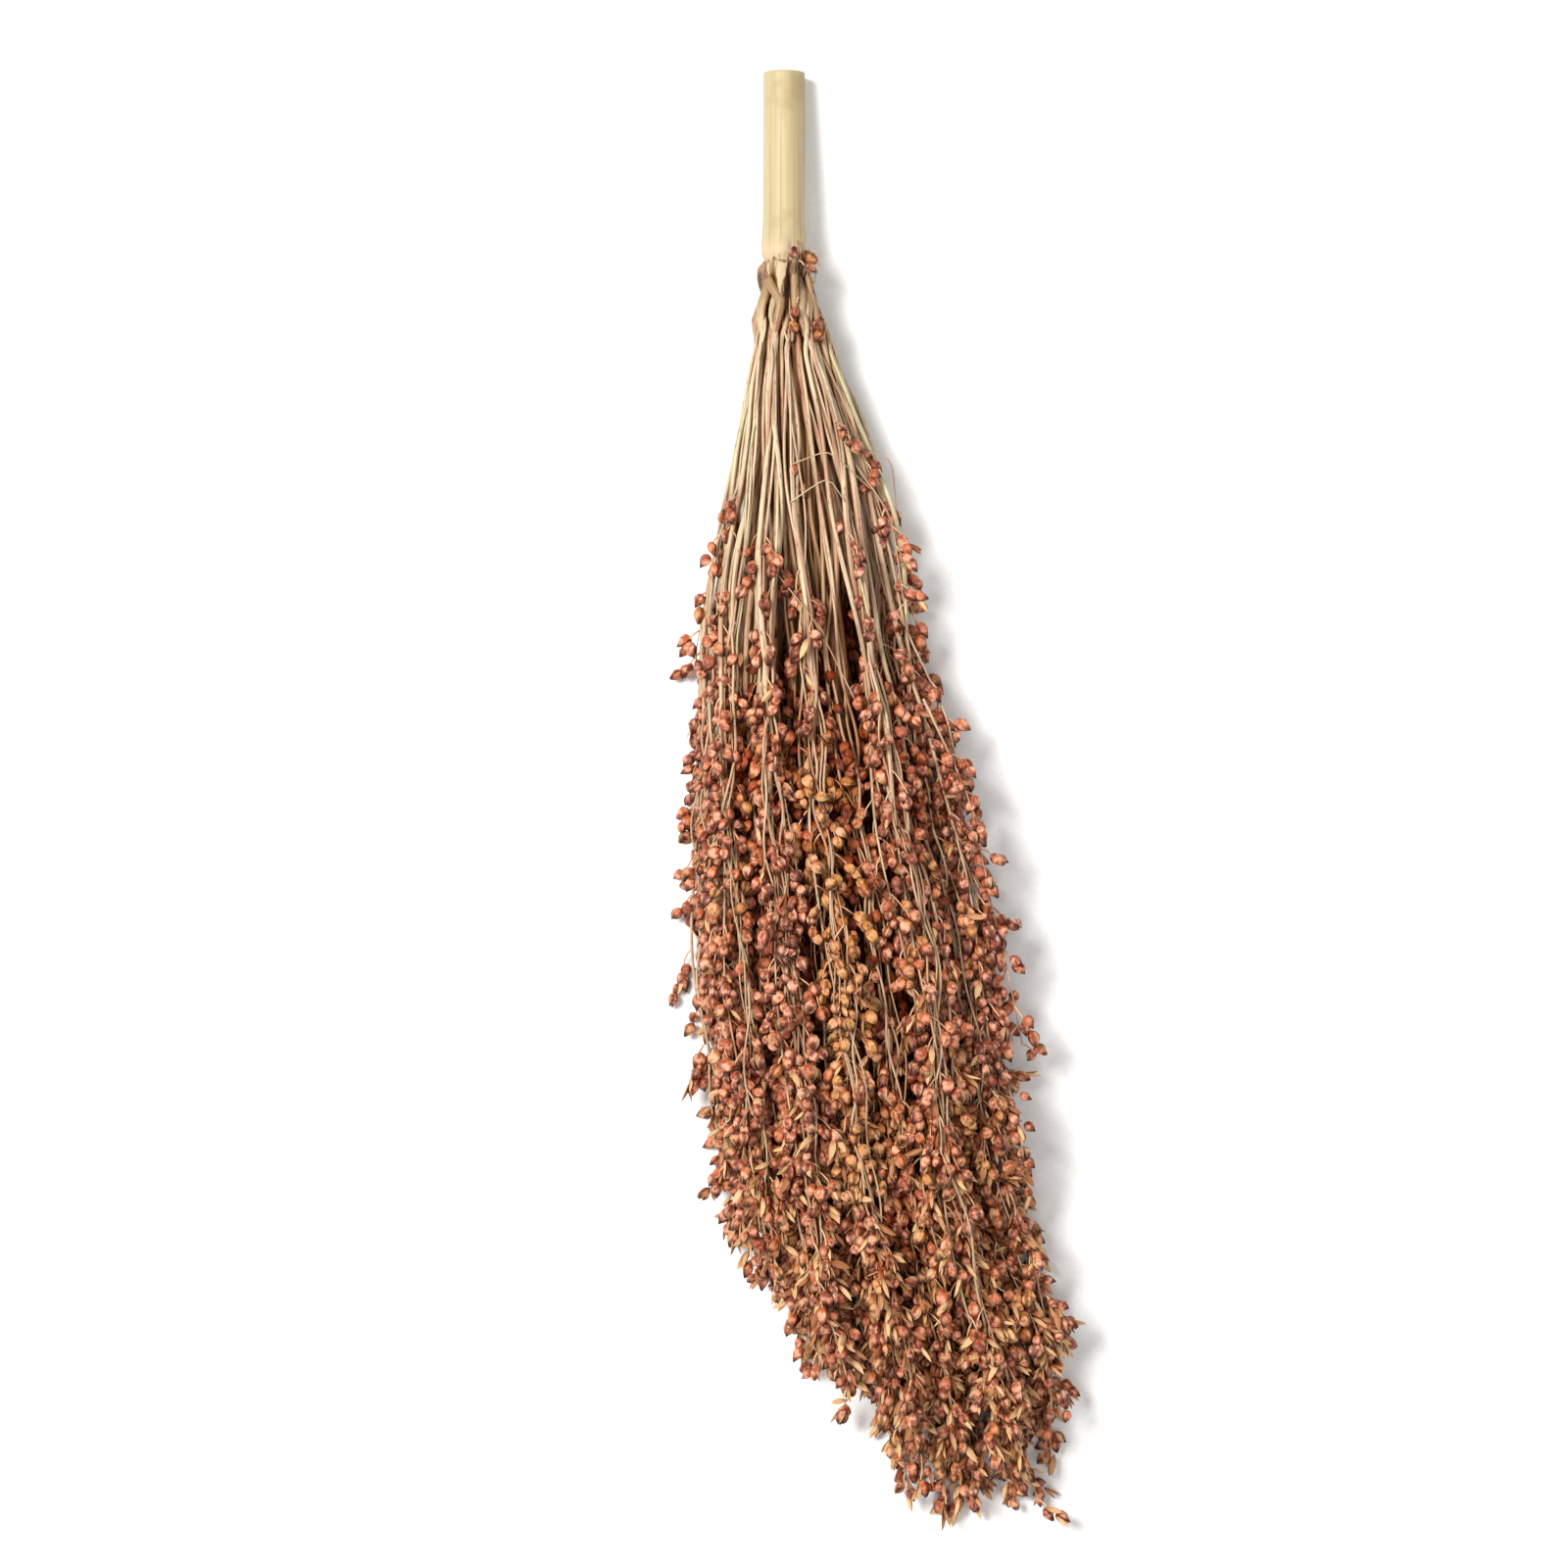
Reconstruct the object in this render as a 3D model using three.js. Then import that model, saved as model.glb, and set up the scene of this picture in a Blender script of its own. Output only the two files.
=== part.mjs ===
// A dried sorghum seed head, cut as picked and lying on its side: a short length of stalk, the long stiff
// branches that fan out from its collar, and the spray of seeds that each branch carries to its tip.
// Millimetres, +Z up. The stalk points along +Y and the seeds along -Y. The origin is on the surface that the
// head lies on, under the middle of its box.
import * as THREE from "three";

// Driving dimensions.
const HEAD_LENGTH = 397; // from the collar to the furthest tip
const STALK_LENGTH = 62; // from the cut end to the collar
const STALK_RADIUS = 6.6;
const CUT_BEVEL = 0.5; // the cut end's worn rim
const COLLAR_RADIUS = 8.2; // the swollen joint that the branches grow from
const COLLAR_LENGTH = 13;
const COLLAR_HEIGHT = 15.6; // of the collar's middle above the surface
const BRANCHES = 28;
const BRANCH_BASE_RADIUS = 1.15;
const BRANCH_TIP_RADIUS = 0.8;
const SPRAY_RADIUS = 6.2; // a spray of seeds at its fullest
const SPRAY_TIP_RADIUS = 0.9;
const SPRAY_SWELL = 24; // the length over which a spray fills out
const SPRAY_TAPER = 52; // the length over which it draws in again to its tip
const LUMP_LENGTH = 57; // from one bunching of the seeds to the next
const LUMP_DEPTH = 0.08;
const KNOBS = 3; // bunches of seeds round a spray
const KNOB_DEPTH = 0.1;
const FLAT_SHARE = 0.8; // below this share of the bundle's lower half, a settled branch lies on the surface
const GAP = 0.3; // between pieces that touch end to end
const SIDE_GAP = 0.6; // between branches that lie side by side

const STALK_SIDES = 24;
const BRANCH_SIDES = 6;
const SPRAY_SIDES = 8;
const BRANCH_STEP = 13; // between a branch's rings
const SPRAY_STEP = 19; // between a spray's rings
const GOLDEN_ANGLE = Math.PI * (3 - Math.sqrt(5));
const GOLDEN_PART = (Math.sqrt(5) - 1) / 2;

// The bundle's section at each distance from the collar: the sideways drift of its middle, half its width, the
// height of its lowest branch, its depth, and how far its underside has settled flat on the surface, from 0 to 1.
const SECTIONS = [
  { at: 0, drift: 0.5, half: 6.6, low: 9, depth: 13.2, settled: 0 },
  { at: 25, drift: 1.5, half: 10.5, low: 7.2, depth: 16, settled: 0.1 },
  { at: 63, drift: 4, half: 20, low: 4, depth: 25, settled: 0.45 },
  { at: 115, drift: 8, half: 33, low: 2.3, depth: 38, settled: 0.9 },
  { at: 172, drift: 12.5, half: 42, low: 2.5, depth: 47, settled: 1 },
  { at: 226, drift: 20, half: 48, low: 2.5, depth: 51, settled: 1 },
  { at: 301, drift: 28, half: 47, low: 2.5, depth: 47, settled: 1 },
  { at: 352, drift: 40, half: 51, low: 2.5, depth: 36, settled: 1 },
  { at: HEAD_LENGTH, drift: 47, half: 46, low: 2.5, depth: 20, settled: 1 },
];
const sections = new THREE.CubicInterpolant(
  SECTIONS.map((section) => section.at),
  SECTIONS.flatMap(({ drift, half, low, depth, settled }) => [drift, half, low, depth, settled]),
  5,
);

const fraction = (value) => value - Math.floor(value);

// Each branch keeps its own lane in the bundle, set out as leaves are round a stem, so no two ever cross.
function laneOf(index) {
  const radius = Math.sqrt((index + 0.5) / BRANCHES);
  const u = radius * Math.cos(index * GOLDEN_ANGLE);
  const v = radius * Math.sin(index * GOLDEN_ANGLE);
  const unevenness = fraction(index * GOLDEN_PART);
  // The left side is the shortest, and the longest branches are right of the middle.
  const shortening = 92 * ((u - 0.35) / 1.35) ** 2 + 9 * Math.max(v, 0) + 12 * unevenness;
  return {
    u,
    v,
    seedsFrom: 116 + 26 * unevenness - 18 * Math.max(u, 0),
    end: HEAD_LENGTH - shortening,
  };
}
const lanes = Array.from({ length: BRANCHES }, (_, index) => laneOf(index));

// Where a lane's middle lies at a distance from the collar.
function middleOf({ u, v }, distance) {
  const [drift, half, low, depth, settled] = sections.evaluate(distance);
  const waist = THREE.MathUtils.lerp(0.5, 0.42, settled);
  const chord = Math.sqrt(Math.max(1 - u * u, 0.04));
  const sunk = THREE.MathUtils.lerp(v, Math.max(v / (FLAT_SHARE * chord), -1), settled);
  const share = v < 0 ? waist * (1 + sunk) : waist + (1 - waist) * v;
  return new THREE.Vector3(drift + half * u, -distance, low + depth * share);
}

// The most that a lane can hold at a distance from the collar without touching its neighbours.
function roomIn(lane, distance) {
  const middle = middleOf(lane, distance);
  const spans = lanes
    .filter((other) => other !== lane && distance < other.end + SPRAY_STEP)
    .map((other) => middle.distanceTo(middleOf(other, distance)));
  return spans.length ? (Math.min(...spans) - SIDE_GAP) / 2 : SPRAY_RADIUS;
}

function branchRadius(lane, distance) {
  const wanted = THREE.MathUtils.lerp(BRANCH_BASE_RADIUS, BRANCH_TIP_RADIUS, distance / lane.seedsFrom);
  return Math.min(wanted, roomIn(lane, distance));
}

function sprayRadius(lane, distance) {
  const filling = THREE.MathUtils.smoothstep(distance, lane.seedsFrom, lane.seedsFrom + SPRAY_SWELL);
  const thinning = THREE.MathUtils.smoothstep(lane.end - distance, 0, SPRAY_TAPER);
  const lumps = 1 - LUMP_DEPTH * (1 + Math.cos((2 * Math.PI * distance) / LUMP_LENGTH));
  const full = THREE.MathUtils.lerp(SPRAY_TIP_RADIUS, SPRAY_RADIUS * lumps, filling * thinning);
  return Math.min(full, roomIn(lane, distance));
}

// A straight round solid of changing thickness, down -Y.
function roundSolid(from, to, step, sides, radiusAt) {
  const rings = Math.max(2, Math.round((to - from) / step));
  const outline = [new THREE.Vector2(0, -to)];
  for (let ring = rings; ring >= 0; ring--) {
    const distance = THREE.MathUtils.lerp(from, to, ring / rings);
    outline.push(new THREE.Vector2(radiusAt(distance), -distance));
  }
  outline.push(new THREE.Vector2(0, -from));
  return new THREE.LatheGeometry(outline, sides);
}

// The seeds stand out in bunches that wind round a spray.
function knobbly(geometry) {
  const points = geometry.attributes.position;
  for (let index = 0; index < points.count; index++) {
    const angle = Math.atan2(points.getZ(index), points.getX(index));
    const turn = KNOBS * angle + (2 * Math.PI * points.getY(index)) / LUMP_LENGTH;
    const share = 1 - KNOB_DEPTH * (1 + Math.cos(turn));
    points.setX(index, points.getX(index) * share);
    points.setZ(index, points.getZ(index) * share);
  }
  return geometry;
}

// Moves a straight solid's middle onto a path. Its sections stay square to Y, and nothing reaches below the
// surface that the head lies on.
function bent(geometry, middleAt) {
  const points = geometry.attributes.position;
  for (let index = 0; index < points.count; index++) {
    const middle = middleAt(-points.getY(index));
    points.setX(index, points.getX(index) + middle.x);
    points.setZ(index, Math.max(points.getZ(index) + middle.z, 0));
  }
  geometry.computeVertexNormals();
  return geometry;
}

// The stalk rests on the rim of its cut end and rises to the collar.
function stalkMiddle(distance) {
  const rise = THREE.MathUtils.lerp(COLLAR_HEIGHT, STALK_RADIUS, -distance / STALK_LENGTH);
  return new THREE.Vector3(SECTIONS[0].drift, -distance, rise);
}

function stalkGeometry() {
  const outline = [
    [0, 0],
    [COLLAR_RADIUS - 1, 0],
    [COLLAR_RADIUS, 1.2],
    [COLLAR_RADIUS - 0.2, 4.5],
    [STALK_RADIUS + 0.5, COLLAR_LENGTH * 0.7],
    [STALK_RADIUS, COLLAR_LENGTH],
    [STALK_RADIUS - 0.2, STALK_LENGTH * 0.5],
    [STALK_RADIUS, STALK_LENGTH - CUT_BEVEL],
    [STALK_RADIUS - CUT_BEVEL, STALK_LENGTH],
    [0, STALK_LENGTH],
  ].map(([radius, height]) => new THREE.Vector2(radius, height));
  return bent(new THREE.LatheGeometry(outline, STALK_SIDES), stalkMiddle);
}

const stalkFinish = new THREE.MeshStandardMaterial({ color: 0xcdbc84, roughness: 0.5, metalness: 0 });
const branchFinish = new THREE.MeshStandardMaterial({ color: 0xc2a77a, roughness: 0.6, metalness: 0 });
const seedFinish = new THREE.MeshStandardMaterial({ color: 0x8f4a30, roughness: 0.45, metalness: 0 });

const head = new THREE.Group();

function add(name, geometry, finish) {
  const mesh = new THREE.Mesh(geometry, finish);
  mesh.name = name;
  head.add(mesh);
}

add("stalk", stalkGeometry(), stalkFinish);
lanes.forEach((lane, index) => {
  const number = String(index + 1).padStart(2, "0");
  const middleAt = (distance) => middleOf(lane, distance);
  const thickness = (distance) => branchRadius(lane, distance);
  const fullness = (distance) => sprayRadius(lane, distance);
  const stem = roundSolid(GAP, lane.seedsFrom, BRANCH_STEP, BRANCH_SIDES, thickness);
  const spray = roundSolid(lane.seedsFrom + GAP, lane.end, SPRAY_STEP, SPRAY_SIDES, fullness);
  add(`branch_${number}`, bent(stem, middleAt), branchFinish);
  add(`seed_spray_${number}`, bent(knobbly(spray), middleAt), seedFinish);
});

// The origin goes under the middle of the head's box.
const box = new THREE.Box3().setFromObject(head, true);
const middle = box.getCenter(new THREE.Vector3());
head.position.set(-middle.x, -middle.y, -box.min.z);

export default head;
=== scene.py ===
import math
from functools import partial

import bpy
import numpy as np
from bpy.props import FloatProperty, FloatVectorProperty, PointerProperty
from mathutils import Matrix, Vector


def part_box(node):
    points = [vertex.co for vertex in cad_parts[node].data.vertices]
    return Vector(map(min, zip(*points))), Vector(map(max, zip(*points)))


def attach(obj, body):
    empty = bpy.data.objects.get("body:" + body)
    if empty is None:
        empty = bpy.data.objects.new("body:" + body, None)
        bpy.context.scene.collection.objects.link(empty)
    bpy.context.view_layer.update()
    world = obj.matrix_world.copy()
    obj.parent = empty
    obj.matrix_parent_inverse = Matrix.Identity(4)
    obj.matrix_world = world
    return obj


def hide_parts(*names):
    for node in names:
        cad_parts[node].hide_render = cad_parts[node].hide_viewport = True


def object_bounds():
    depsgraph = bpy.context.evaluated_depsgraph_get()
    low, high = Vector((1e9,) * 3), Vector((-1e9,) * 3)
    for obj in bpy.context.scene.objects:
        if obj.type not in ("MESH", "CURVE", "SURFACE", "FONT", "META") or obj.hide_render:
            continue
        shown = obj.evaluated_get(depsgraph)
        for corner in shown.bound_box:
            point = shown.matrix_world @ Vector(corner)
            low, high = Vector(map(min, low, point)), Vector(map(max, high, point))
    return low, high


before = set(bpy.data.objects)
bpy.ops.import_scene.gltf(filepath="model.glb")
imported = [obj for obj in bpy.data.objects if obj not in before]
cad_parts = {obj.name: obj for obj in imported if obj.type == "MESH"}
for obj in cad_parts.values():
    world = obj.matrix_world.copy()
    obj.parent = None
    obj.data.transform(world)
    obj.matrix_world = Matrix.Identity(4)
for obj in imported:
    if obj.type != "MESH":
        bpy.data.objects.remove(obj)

bl_info = {
    "name": "Sorghum Seed Head",
    "version": (1, 0, 0),
    "blender": (4, 5, 0),
    "location": "View3D > Sidebar > Seed Head",
    "description": "Finishes a dried sorghum seed head, from its cut stalk to its seeds",
    "category": "Add Mesh",
}

MM = 0.001
CAD_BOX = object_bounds()
STALK_LOW, STALK_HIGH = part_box("stalk")
COLLAR_Y = STALK_LOW.y
COLLAR_X = (STALK_LOW.x + STALK_HIGH.x) / 2
LANES = sum(name.startswith("branch_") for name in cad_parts)
PLAN_SEED = 11  # of everything that is left to chance


# Small helpers


def linear(hex_value):
    """An sRGB hex value as the linear colour that a shader works in."""
    channels = [int(hex_value[at : at + 2], 16) / 255 for at in (1, 3, 5)]
    return (*(c / 12.92 if c <= 0.04045 else ((c + 0.055) / 1.055) ** 2.4 for c in channels), 1.0)


def smooth(low, high, value):
    """0 below low, 1 above high, and an even curve between them."""
    share = np.clip((value - low) / (high - low), 0, 1)
    return share * share * (3 - 2 * share)


def fill(tree, socket, value):
    """Fills a node's input from a value, from another node's output, or from a node's first output."""
    if isinstance(value, bpy.types.Node):
        value = next(output for output in value.outputs if output.enabled)
    if isinstance(value, bpy.types.NodeSocket):
        tree.links.new(value, socket)
    else:
        socket.default_value = value


def add_node(tree, kind, inputs=(), **settings):
    """Adds a node with its settings. Its inputs come in the order in which it shows them, or by name."""
    node = tree.nodes.new(kind)
    for name, value in settings.items():
        setattr(node, name, value)
    if isinstance(inputs, dict):
        pairs = [(node.inputs[key], value) for key, value in inputs.items()]
    else:
        pairs = zip([socket for socket in node.inputs if socket.enabled], inputs)
    for socket, value in pairs:
        fill(tree, socket, value)
    return node


def length_property(name, description, usual, least, most):
    """A length that a user may change, from values in millimetres."""
    return FloatProperty(
        name=name, description=description, default=usual * MM, min=least * MM, max=most * MM, unit="LENGTH",
    )


def colour_property(name, description, hex_value):
    """A colour that a user may change."""
    return FloatVectorProperty(
        name=name, description=description, default=linear(hex_value), size=4, subtype="COLOR", min=0, max=1,
    )


# Sizes and colours that a user would change


class SeedHeadSizes(bpy.types.PropertyGroup):
    """The sizes of what grows on the head."""

    seed_length: length_property("Seed length", "From a husked seed's base to its tip", 5.5, 2, 8)
    seed_spacing: length_property("Seed spacing", "From one seed to the next along a twig", 2.3, 1.5, 6)
    husk_length: length_property("Husk length", "The length of the empty husks beside the seeds", 6.6, 2, 9)
    twig_length: length_property("Twig length", "The length of a twig at a spray's fullest", 11.5, 4, 25)
    twig_spacing: length_property("Twig spacing", "From one twig to the next along a stem", 6.0, 2, 15)
    twig_width: length_property("Twig width", "The width of the thin twigs that carry seeds", 0.6, 0.1, 1)
    stem_width: length_property("Stem width", "The width of a main stem below the collar", 2.0, 1, 4)


SIZE_NAMES = tuple(SeedHeadSizes.__annotations__)


class SeedHeadColours(bpy.types.PropertyGroup):
    """The colours of the dry straw and the seeds."""

    ochre: colour_property("Ochre seed", "The palest seeds", "#ca9048")
    rust: colour_property("Rust seed", "Seeds that are half ripe", "#bd6338")
    brick: colour_property("Brick seed", "The common seed", "#9c482e")
    maroon: colour_property("Maroon seed", "The darkest seeds", "#582528")
    bloom: colour_property("Bloom", "The dusty film on a seed's belly", "#e2a484")
    husk: colour_property("Husk", "Empty husks, and the inside of open ones", "#e4b884")
    straw: colour_property("Straw", "The common colour of a stem", "#d2ba97")
    green_straw: colour_property("Green straw", "Stems that dried green", "#c4bc92")
    blush: colour_property("Blush", "The red-brown that stains some stems", "#a9755a")
    cane: colour_property("Cane", "The stalk's skin", "#b9a67e")
    pith: colour_property("Pith", "The spongy inside of the stalk, at its cut end", "#cfc3a1")


# Materials


def new_finish(name, roughness, gloss=0.5):
    """A material of that name with one shader, the tree to build its pattern in, and the way to add to it."""
    material = bpy.data.materials.new(name)
    material.use_nodes = True
    tree = material.node_tree
    tree.nodes["Principled BSDF"].inputs["Roughness"].default_value = roughness
    tree.nodes["Principled BSDF"].inputs["Specular IOR Level"].default_value = gloss
    return material, tree, partial(add_node, tree)


def dress(tree, colour, height=None, depth=0.0):
    """Gives a tree's shader its colour and, from the height of a pattern, its relief."""
    shader = tree.nodes["Principled BSDF"]
    fill(tree, shader.inputs["Base Color"], colour)
    if height:
        relief = add_node(tree, "ShaderNodeBump", {"Height": height, "Distance": depth})
        fill(tree, shader.inputs["Normal"], relief)


def stained(tree, colour, *stains):
    """A colour with stains laid over it in turn. A stain is its own colour, the pattern that shows it, the
    pattern's values where it begins and where it is full and, if that isn't 1, how strong it is there."""
    for stain, pattern, low, high, *strength in stains:
        inputs = (pattern, low, high, 0.0, *(strength or [1.0]))
        share = add_node(tree, "ShaderNodeMapRange", inputs, interpolation_type="SMOOTHSTEP")
        stain = linear(stain) if isinstance(stain, str) else stain
        colour = add_node(tree, "ShaderNodeMix", (share, colour, stain), data_type="RGBA")
    return colour


def stretched_noise(tree, place, scale, detail=3.0):
    """Noise with its own number of features a metre along each axis of a place."""
    at = add_node(tree, "ShaderNodeMapping", {"Vector": place, "Scale": scale})
    return add_node(tree, "ShaderNodeTexNoise", {"Vector": at, "Scale": 1.0, "Detail": detail})


def skin_axes(tree):
    """How far round and how far along a stem or seed a point lies, and its place on a tube of unit radius."""
    add = partial(add_node, tree)
    around, along, _ = add("ShaderNodeSeparateXYZ", (add("ShaderNodeUVMap", uv_map="skin"),)).outputs
    turn = add("ShaderNodeMath", (around, math.tau), operation="MULTIPLY")
    across = add("ShaderNodeMath", (turn,), operation="COSINE")
    up = add("ShaderNodeMath", (turn,), operation="SINE")
    return around, along, add("ShaderNodeCombineXYZ", (across, along, up))


# The painted shade: how it darkens and reddens colours deep in the bundle and in the clefts
SHADE_POWERS = (1.0, 1.95, 3.0)  # red lasts longest in the shade, then green, then blue
OPEN_TO_LIGHT = (0.08, 0.7)  # the share of open sky that counts as none and as all


def painted_shade(tree, colour, deepest, cleft, closest):
    """A colour with painted shade laid over it. It darkens and reddens to the share deepest of itself far
    inside the bundle, where little light reaches, and again to the share closest in the clefts between
    neighbours, which are cleft wide."""
    add = partial(add_node, tree)
    # Painted shade: colours darken deep inside the bundle, by how little light reaches in
    sunned = add("ShaderNodeAttribute", attribute_name="sunned").outputs["Fac"]
    inside = add("ShaderNodeMapRange", (sunned, 0.0, 1.0, deepest, 1.0))
    # Painted shade: ambient occlusion darkens the clefts between neighbours
    reached = add("ShaderNodeAmbientOcclusion", {"Distance": cleft}, samples=4).outputs["AO"]
    between = add("ShaderNodeMapRange", (reached, *OPEN_TO_LIGHT, closest, 1.0))
    share = add("ShaderNodeMath", (inside, between), operation="MULTIPLY")
    less = [add("ShaderNodeMath", (share, power), operation="POWER") for power in SHADE_POWERS]
    inputs = (1.0, colour, add("ShaderNodeCombineColor", less))
    return add("ShaderNodeMix", inputs, data_type="RGBA", blend_type="MULTIPLY")


def dry_cane(colours):
    """Dried sorghum cane: a hard skin with fine lengthwise fibres, so its gloss is satin and its colour runs
    in long streaks, with brown scars at the collar. Its core, where it runs on among the stems below the
    collar, is painted near-black as the shadow there."""
    material, tree, add = new_finish("dried cane, satin skin", 0.58)
    *_, place = skin_axes(tree)
    fibres = stretched_noise(tree, place, (11, 9, 11))  # a fibre is about 0.6 mm wide
    streaks = stretched_noise(tree, place, (1.5, 12, 1.5), 2.0)
    blotches = stretched_noise(tree, place, (0.6, 90, 0.6))
    marks = [add("ShaderNodeAttribute", attribute_name=name) for name in ("collar", "core_shadow")]
    collar, core_shadow = (mark.outputs["Fac"] for mark in marks)
    spots = stretched_noise(tree, add("ShaderNodeTexCoord").outputs["Object"], (500, 160, 500), 4.0)
    scars = add("ShaderNodeMath", (spots, collar), operation="MULTIPLY")
    colour = stained(
        tree, colours.cane,
        ("#a9a074", streaks, 0.4, 0.65, 0.8),
        ("#d3c7a2", fibres, 0.5, 0.72, 0.45),
        ("#8d7a52", fibres, 0.46, 0.3, 0.55),
        ("#a58a60", blotches, 0.52, 0.72, 0.5),
        ("#c9b08d", collar, 0.3, 1.0, 0.7),
        ("#6b442d", scars, 0.55, 0.66, 0.85),
        # Painted shadow: the core among the stems is near-black
        ("#38221a", core_shadow, 0.0, 1.0),
    )
    dress(tree, colour, fibres, 0.09 * MM)
    return material


def cut_pith(colours):
    """Cut cane: a thin hard rind round dry, spongy pith dotted with fibre bundles, so it is matt and pale
    with a darker rim."""
    material, tree, add = new_finish("sawn pith, matt", 0.85)
    place = add("ShaderNodeTexCoord").outputs["Object"]
    across = add("ShaderNodeAttribute", attribute_name="across").outputs["Fac"]
    # The fibre bundles are about 1.1 mm apart.
    cells = add("ShaderNodeTexVoronoi", {"Vector": place, "Scale": 900.0})
    sponge = stretched_noise(tree, place, (1500, 1500, 1500))
    colour = stained(
        tree, colours.pith,
        ("#b9a97e", sponge, 0.3, 0.7),
        ("#8a7046", cells, 0.3, 0.16, 0.75),
        ("#8f7848", across, 0.84, 0.93),
    )
    dress(tree, colour, sponge, 0.25 * MM)
    return material


def dry_straw(colours):
    """Dried broom straw: smooth, finely ribbed stems, so they are satin and each has its own tan, green or
    red-brown cast, with rusty flecks and scars. Near the collar it browns, partly as painted shade among the
    roots, and painted shade darkens it deep in the bundle and between neighbours."""
    material, tree, add = new_finish("dried broom straw, satin", 0.52, 0.4)
    *_, place = skin_axes(tree)
    marks = [add("ShaderNodeAttribute", attribute_name=name) for name in ("tint", "far", "rooted")]
    tint, far, rooted = (mark.outputs["Fac"] for mark in marks)
    # Every stem shows a stretch of its own of the patterns. Round a stem is about 7 mm.
    apart = add("ShaderNodeCombineXYZ", (0.0, add("ShaderNodeMath", (tint, 50.0), operation="MULTIPLY"), 0.0))
    place = add("ShaderNodeVectorMath", (place, apart), operation="ADD")
    patches = stretched_noise(tree, place, (0.25, 26, 0.25))
    ribs = stretched_noise(tree, place, (2.6, 60, 2.6), 2.0)
    flecks = stretched_noise(tree, place, (1.2, 330, 1.2), 4.0)
    bruises = stretched_noise(tree, place, (0.5, 130, 0.5))
    blush = add("ShaderNodeMapRange", (tint, 0.1, 0.85, 0.16, -0.04))
    blush = add("ShaderNodeMath", (patches, blush), operation="ADD")
    scars = add("ShaderNodeMath", (bruises, rooted), operation="MULTIPLY")
    colour = stained(
        tree, colours.straw,
        (colours.green_straw, tint, 0.68, 0.95),
        (colours.blush, blush, 0.5, 0.7, 0.85),
        ("#b3845f", far, 0.12, 0.5, 0.5),
        ("#ead7b6", ribs, 0.5, 0.68, 0.55),
        ("#6d4e3a", ribs, 0.48, 0.28, 0.8),
        ("#7a4230", flecks, 0.58, 0.7, 0.8),
        # Near the collar: browned root ends, darkened further as painted shade among the roots
        ("#967850", rooted, 0.0, 1.0, 0.9),
        ("#4d2e20", scars, 0.5, 0.6, 0.85),
    )
    # Painted shade: darker and redder deep in the bundle and between neighbouring stems
    dress(tree, painted_shade(tree, colour, 0.62, 4 * MM, 0.42), ribs, 0.11 * MM)
    return material


def fine_twig():
    """Dried twigs as thin as bristles: too fine to show ribs, so a satin tan that reddens in patches, with
    painted shade deep in the bundle and between neighbours.
    """
    material, tree, add = new_finish("dried bristle twig, satin", 0.5, 0.3)
    patches = stretched_noise(tree, add("ShaderNodeTexCoord").outputs["Object"], (160, 90, 160), 2.0)
    colour = stained(tree, linear("#dfb48d"), ("#96593c", patches, 0.46, 0.66))
    # Painted shade: darker and redder deep in the bundle and between neighbours
    dress(tree, painted_shade(tree, colour, 0.4, 4 * MM, 0.4))
    return material


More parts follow.
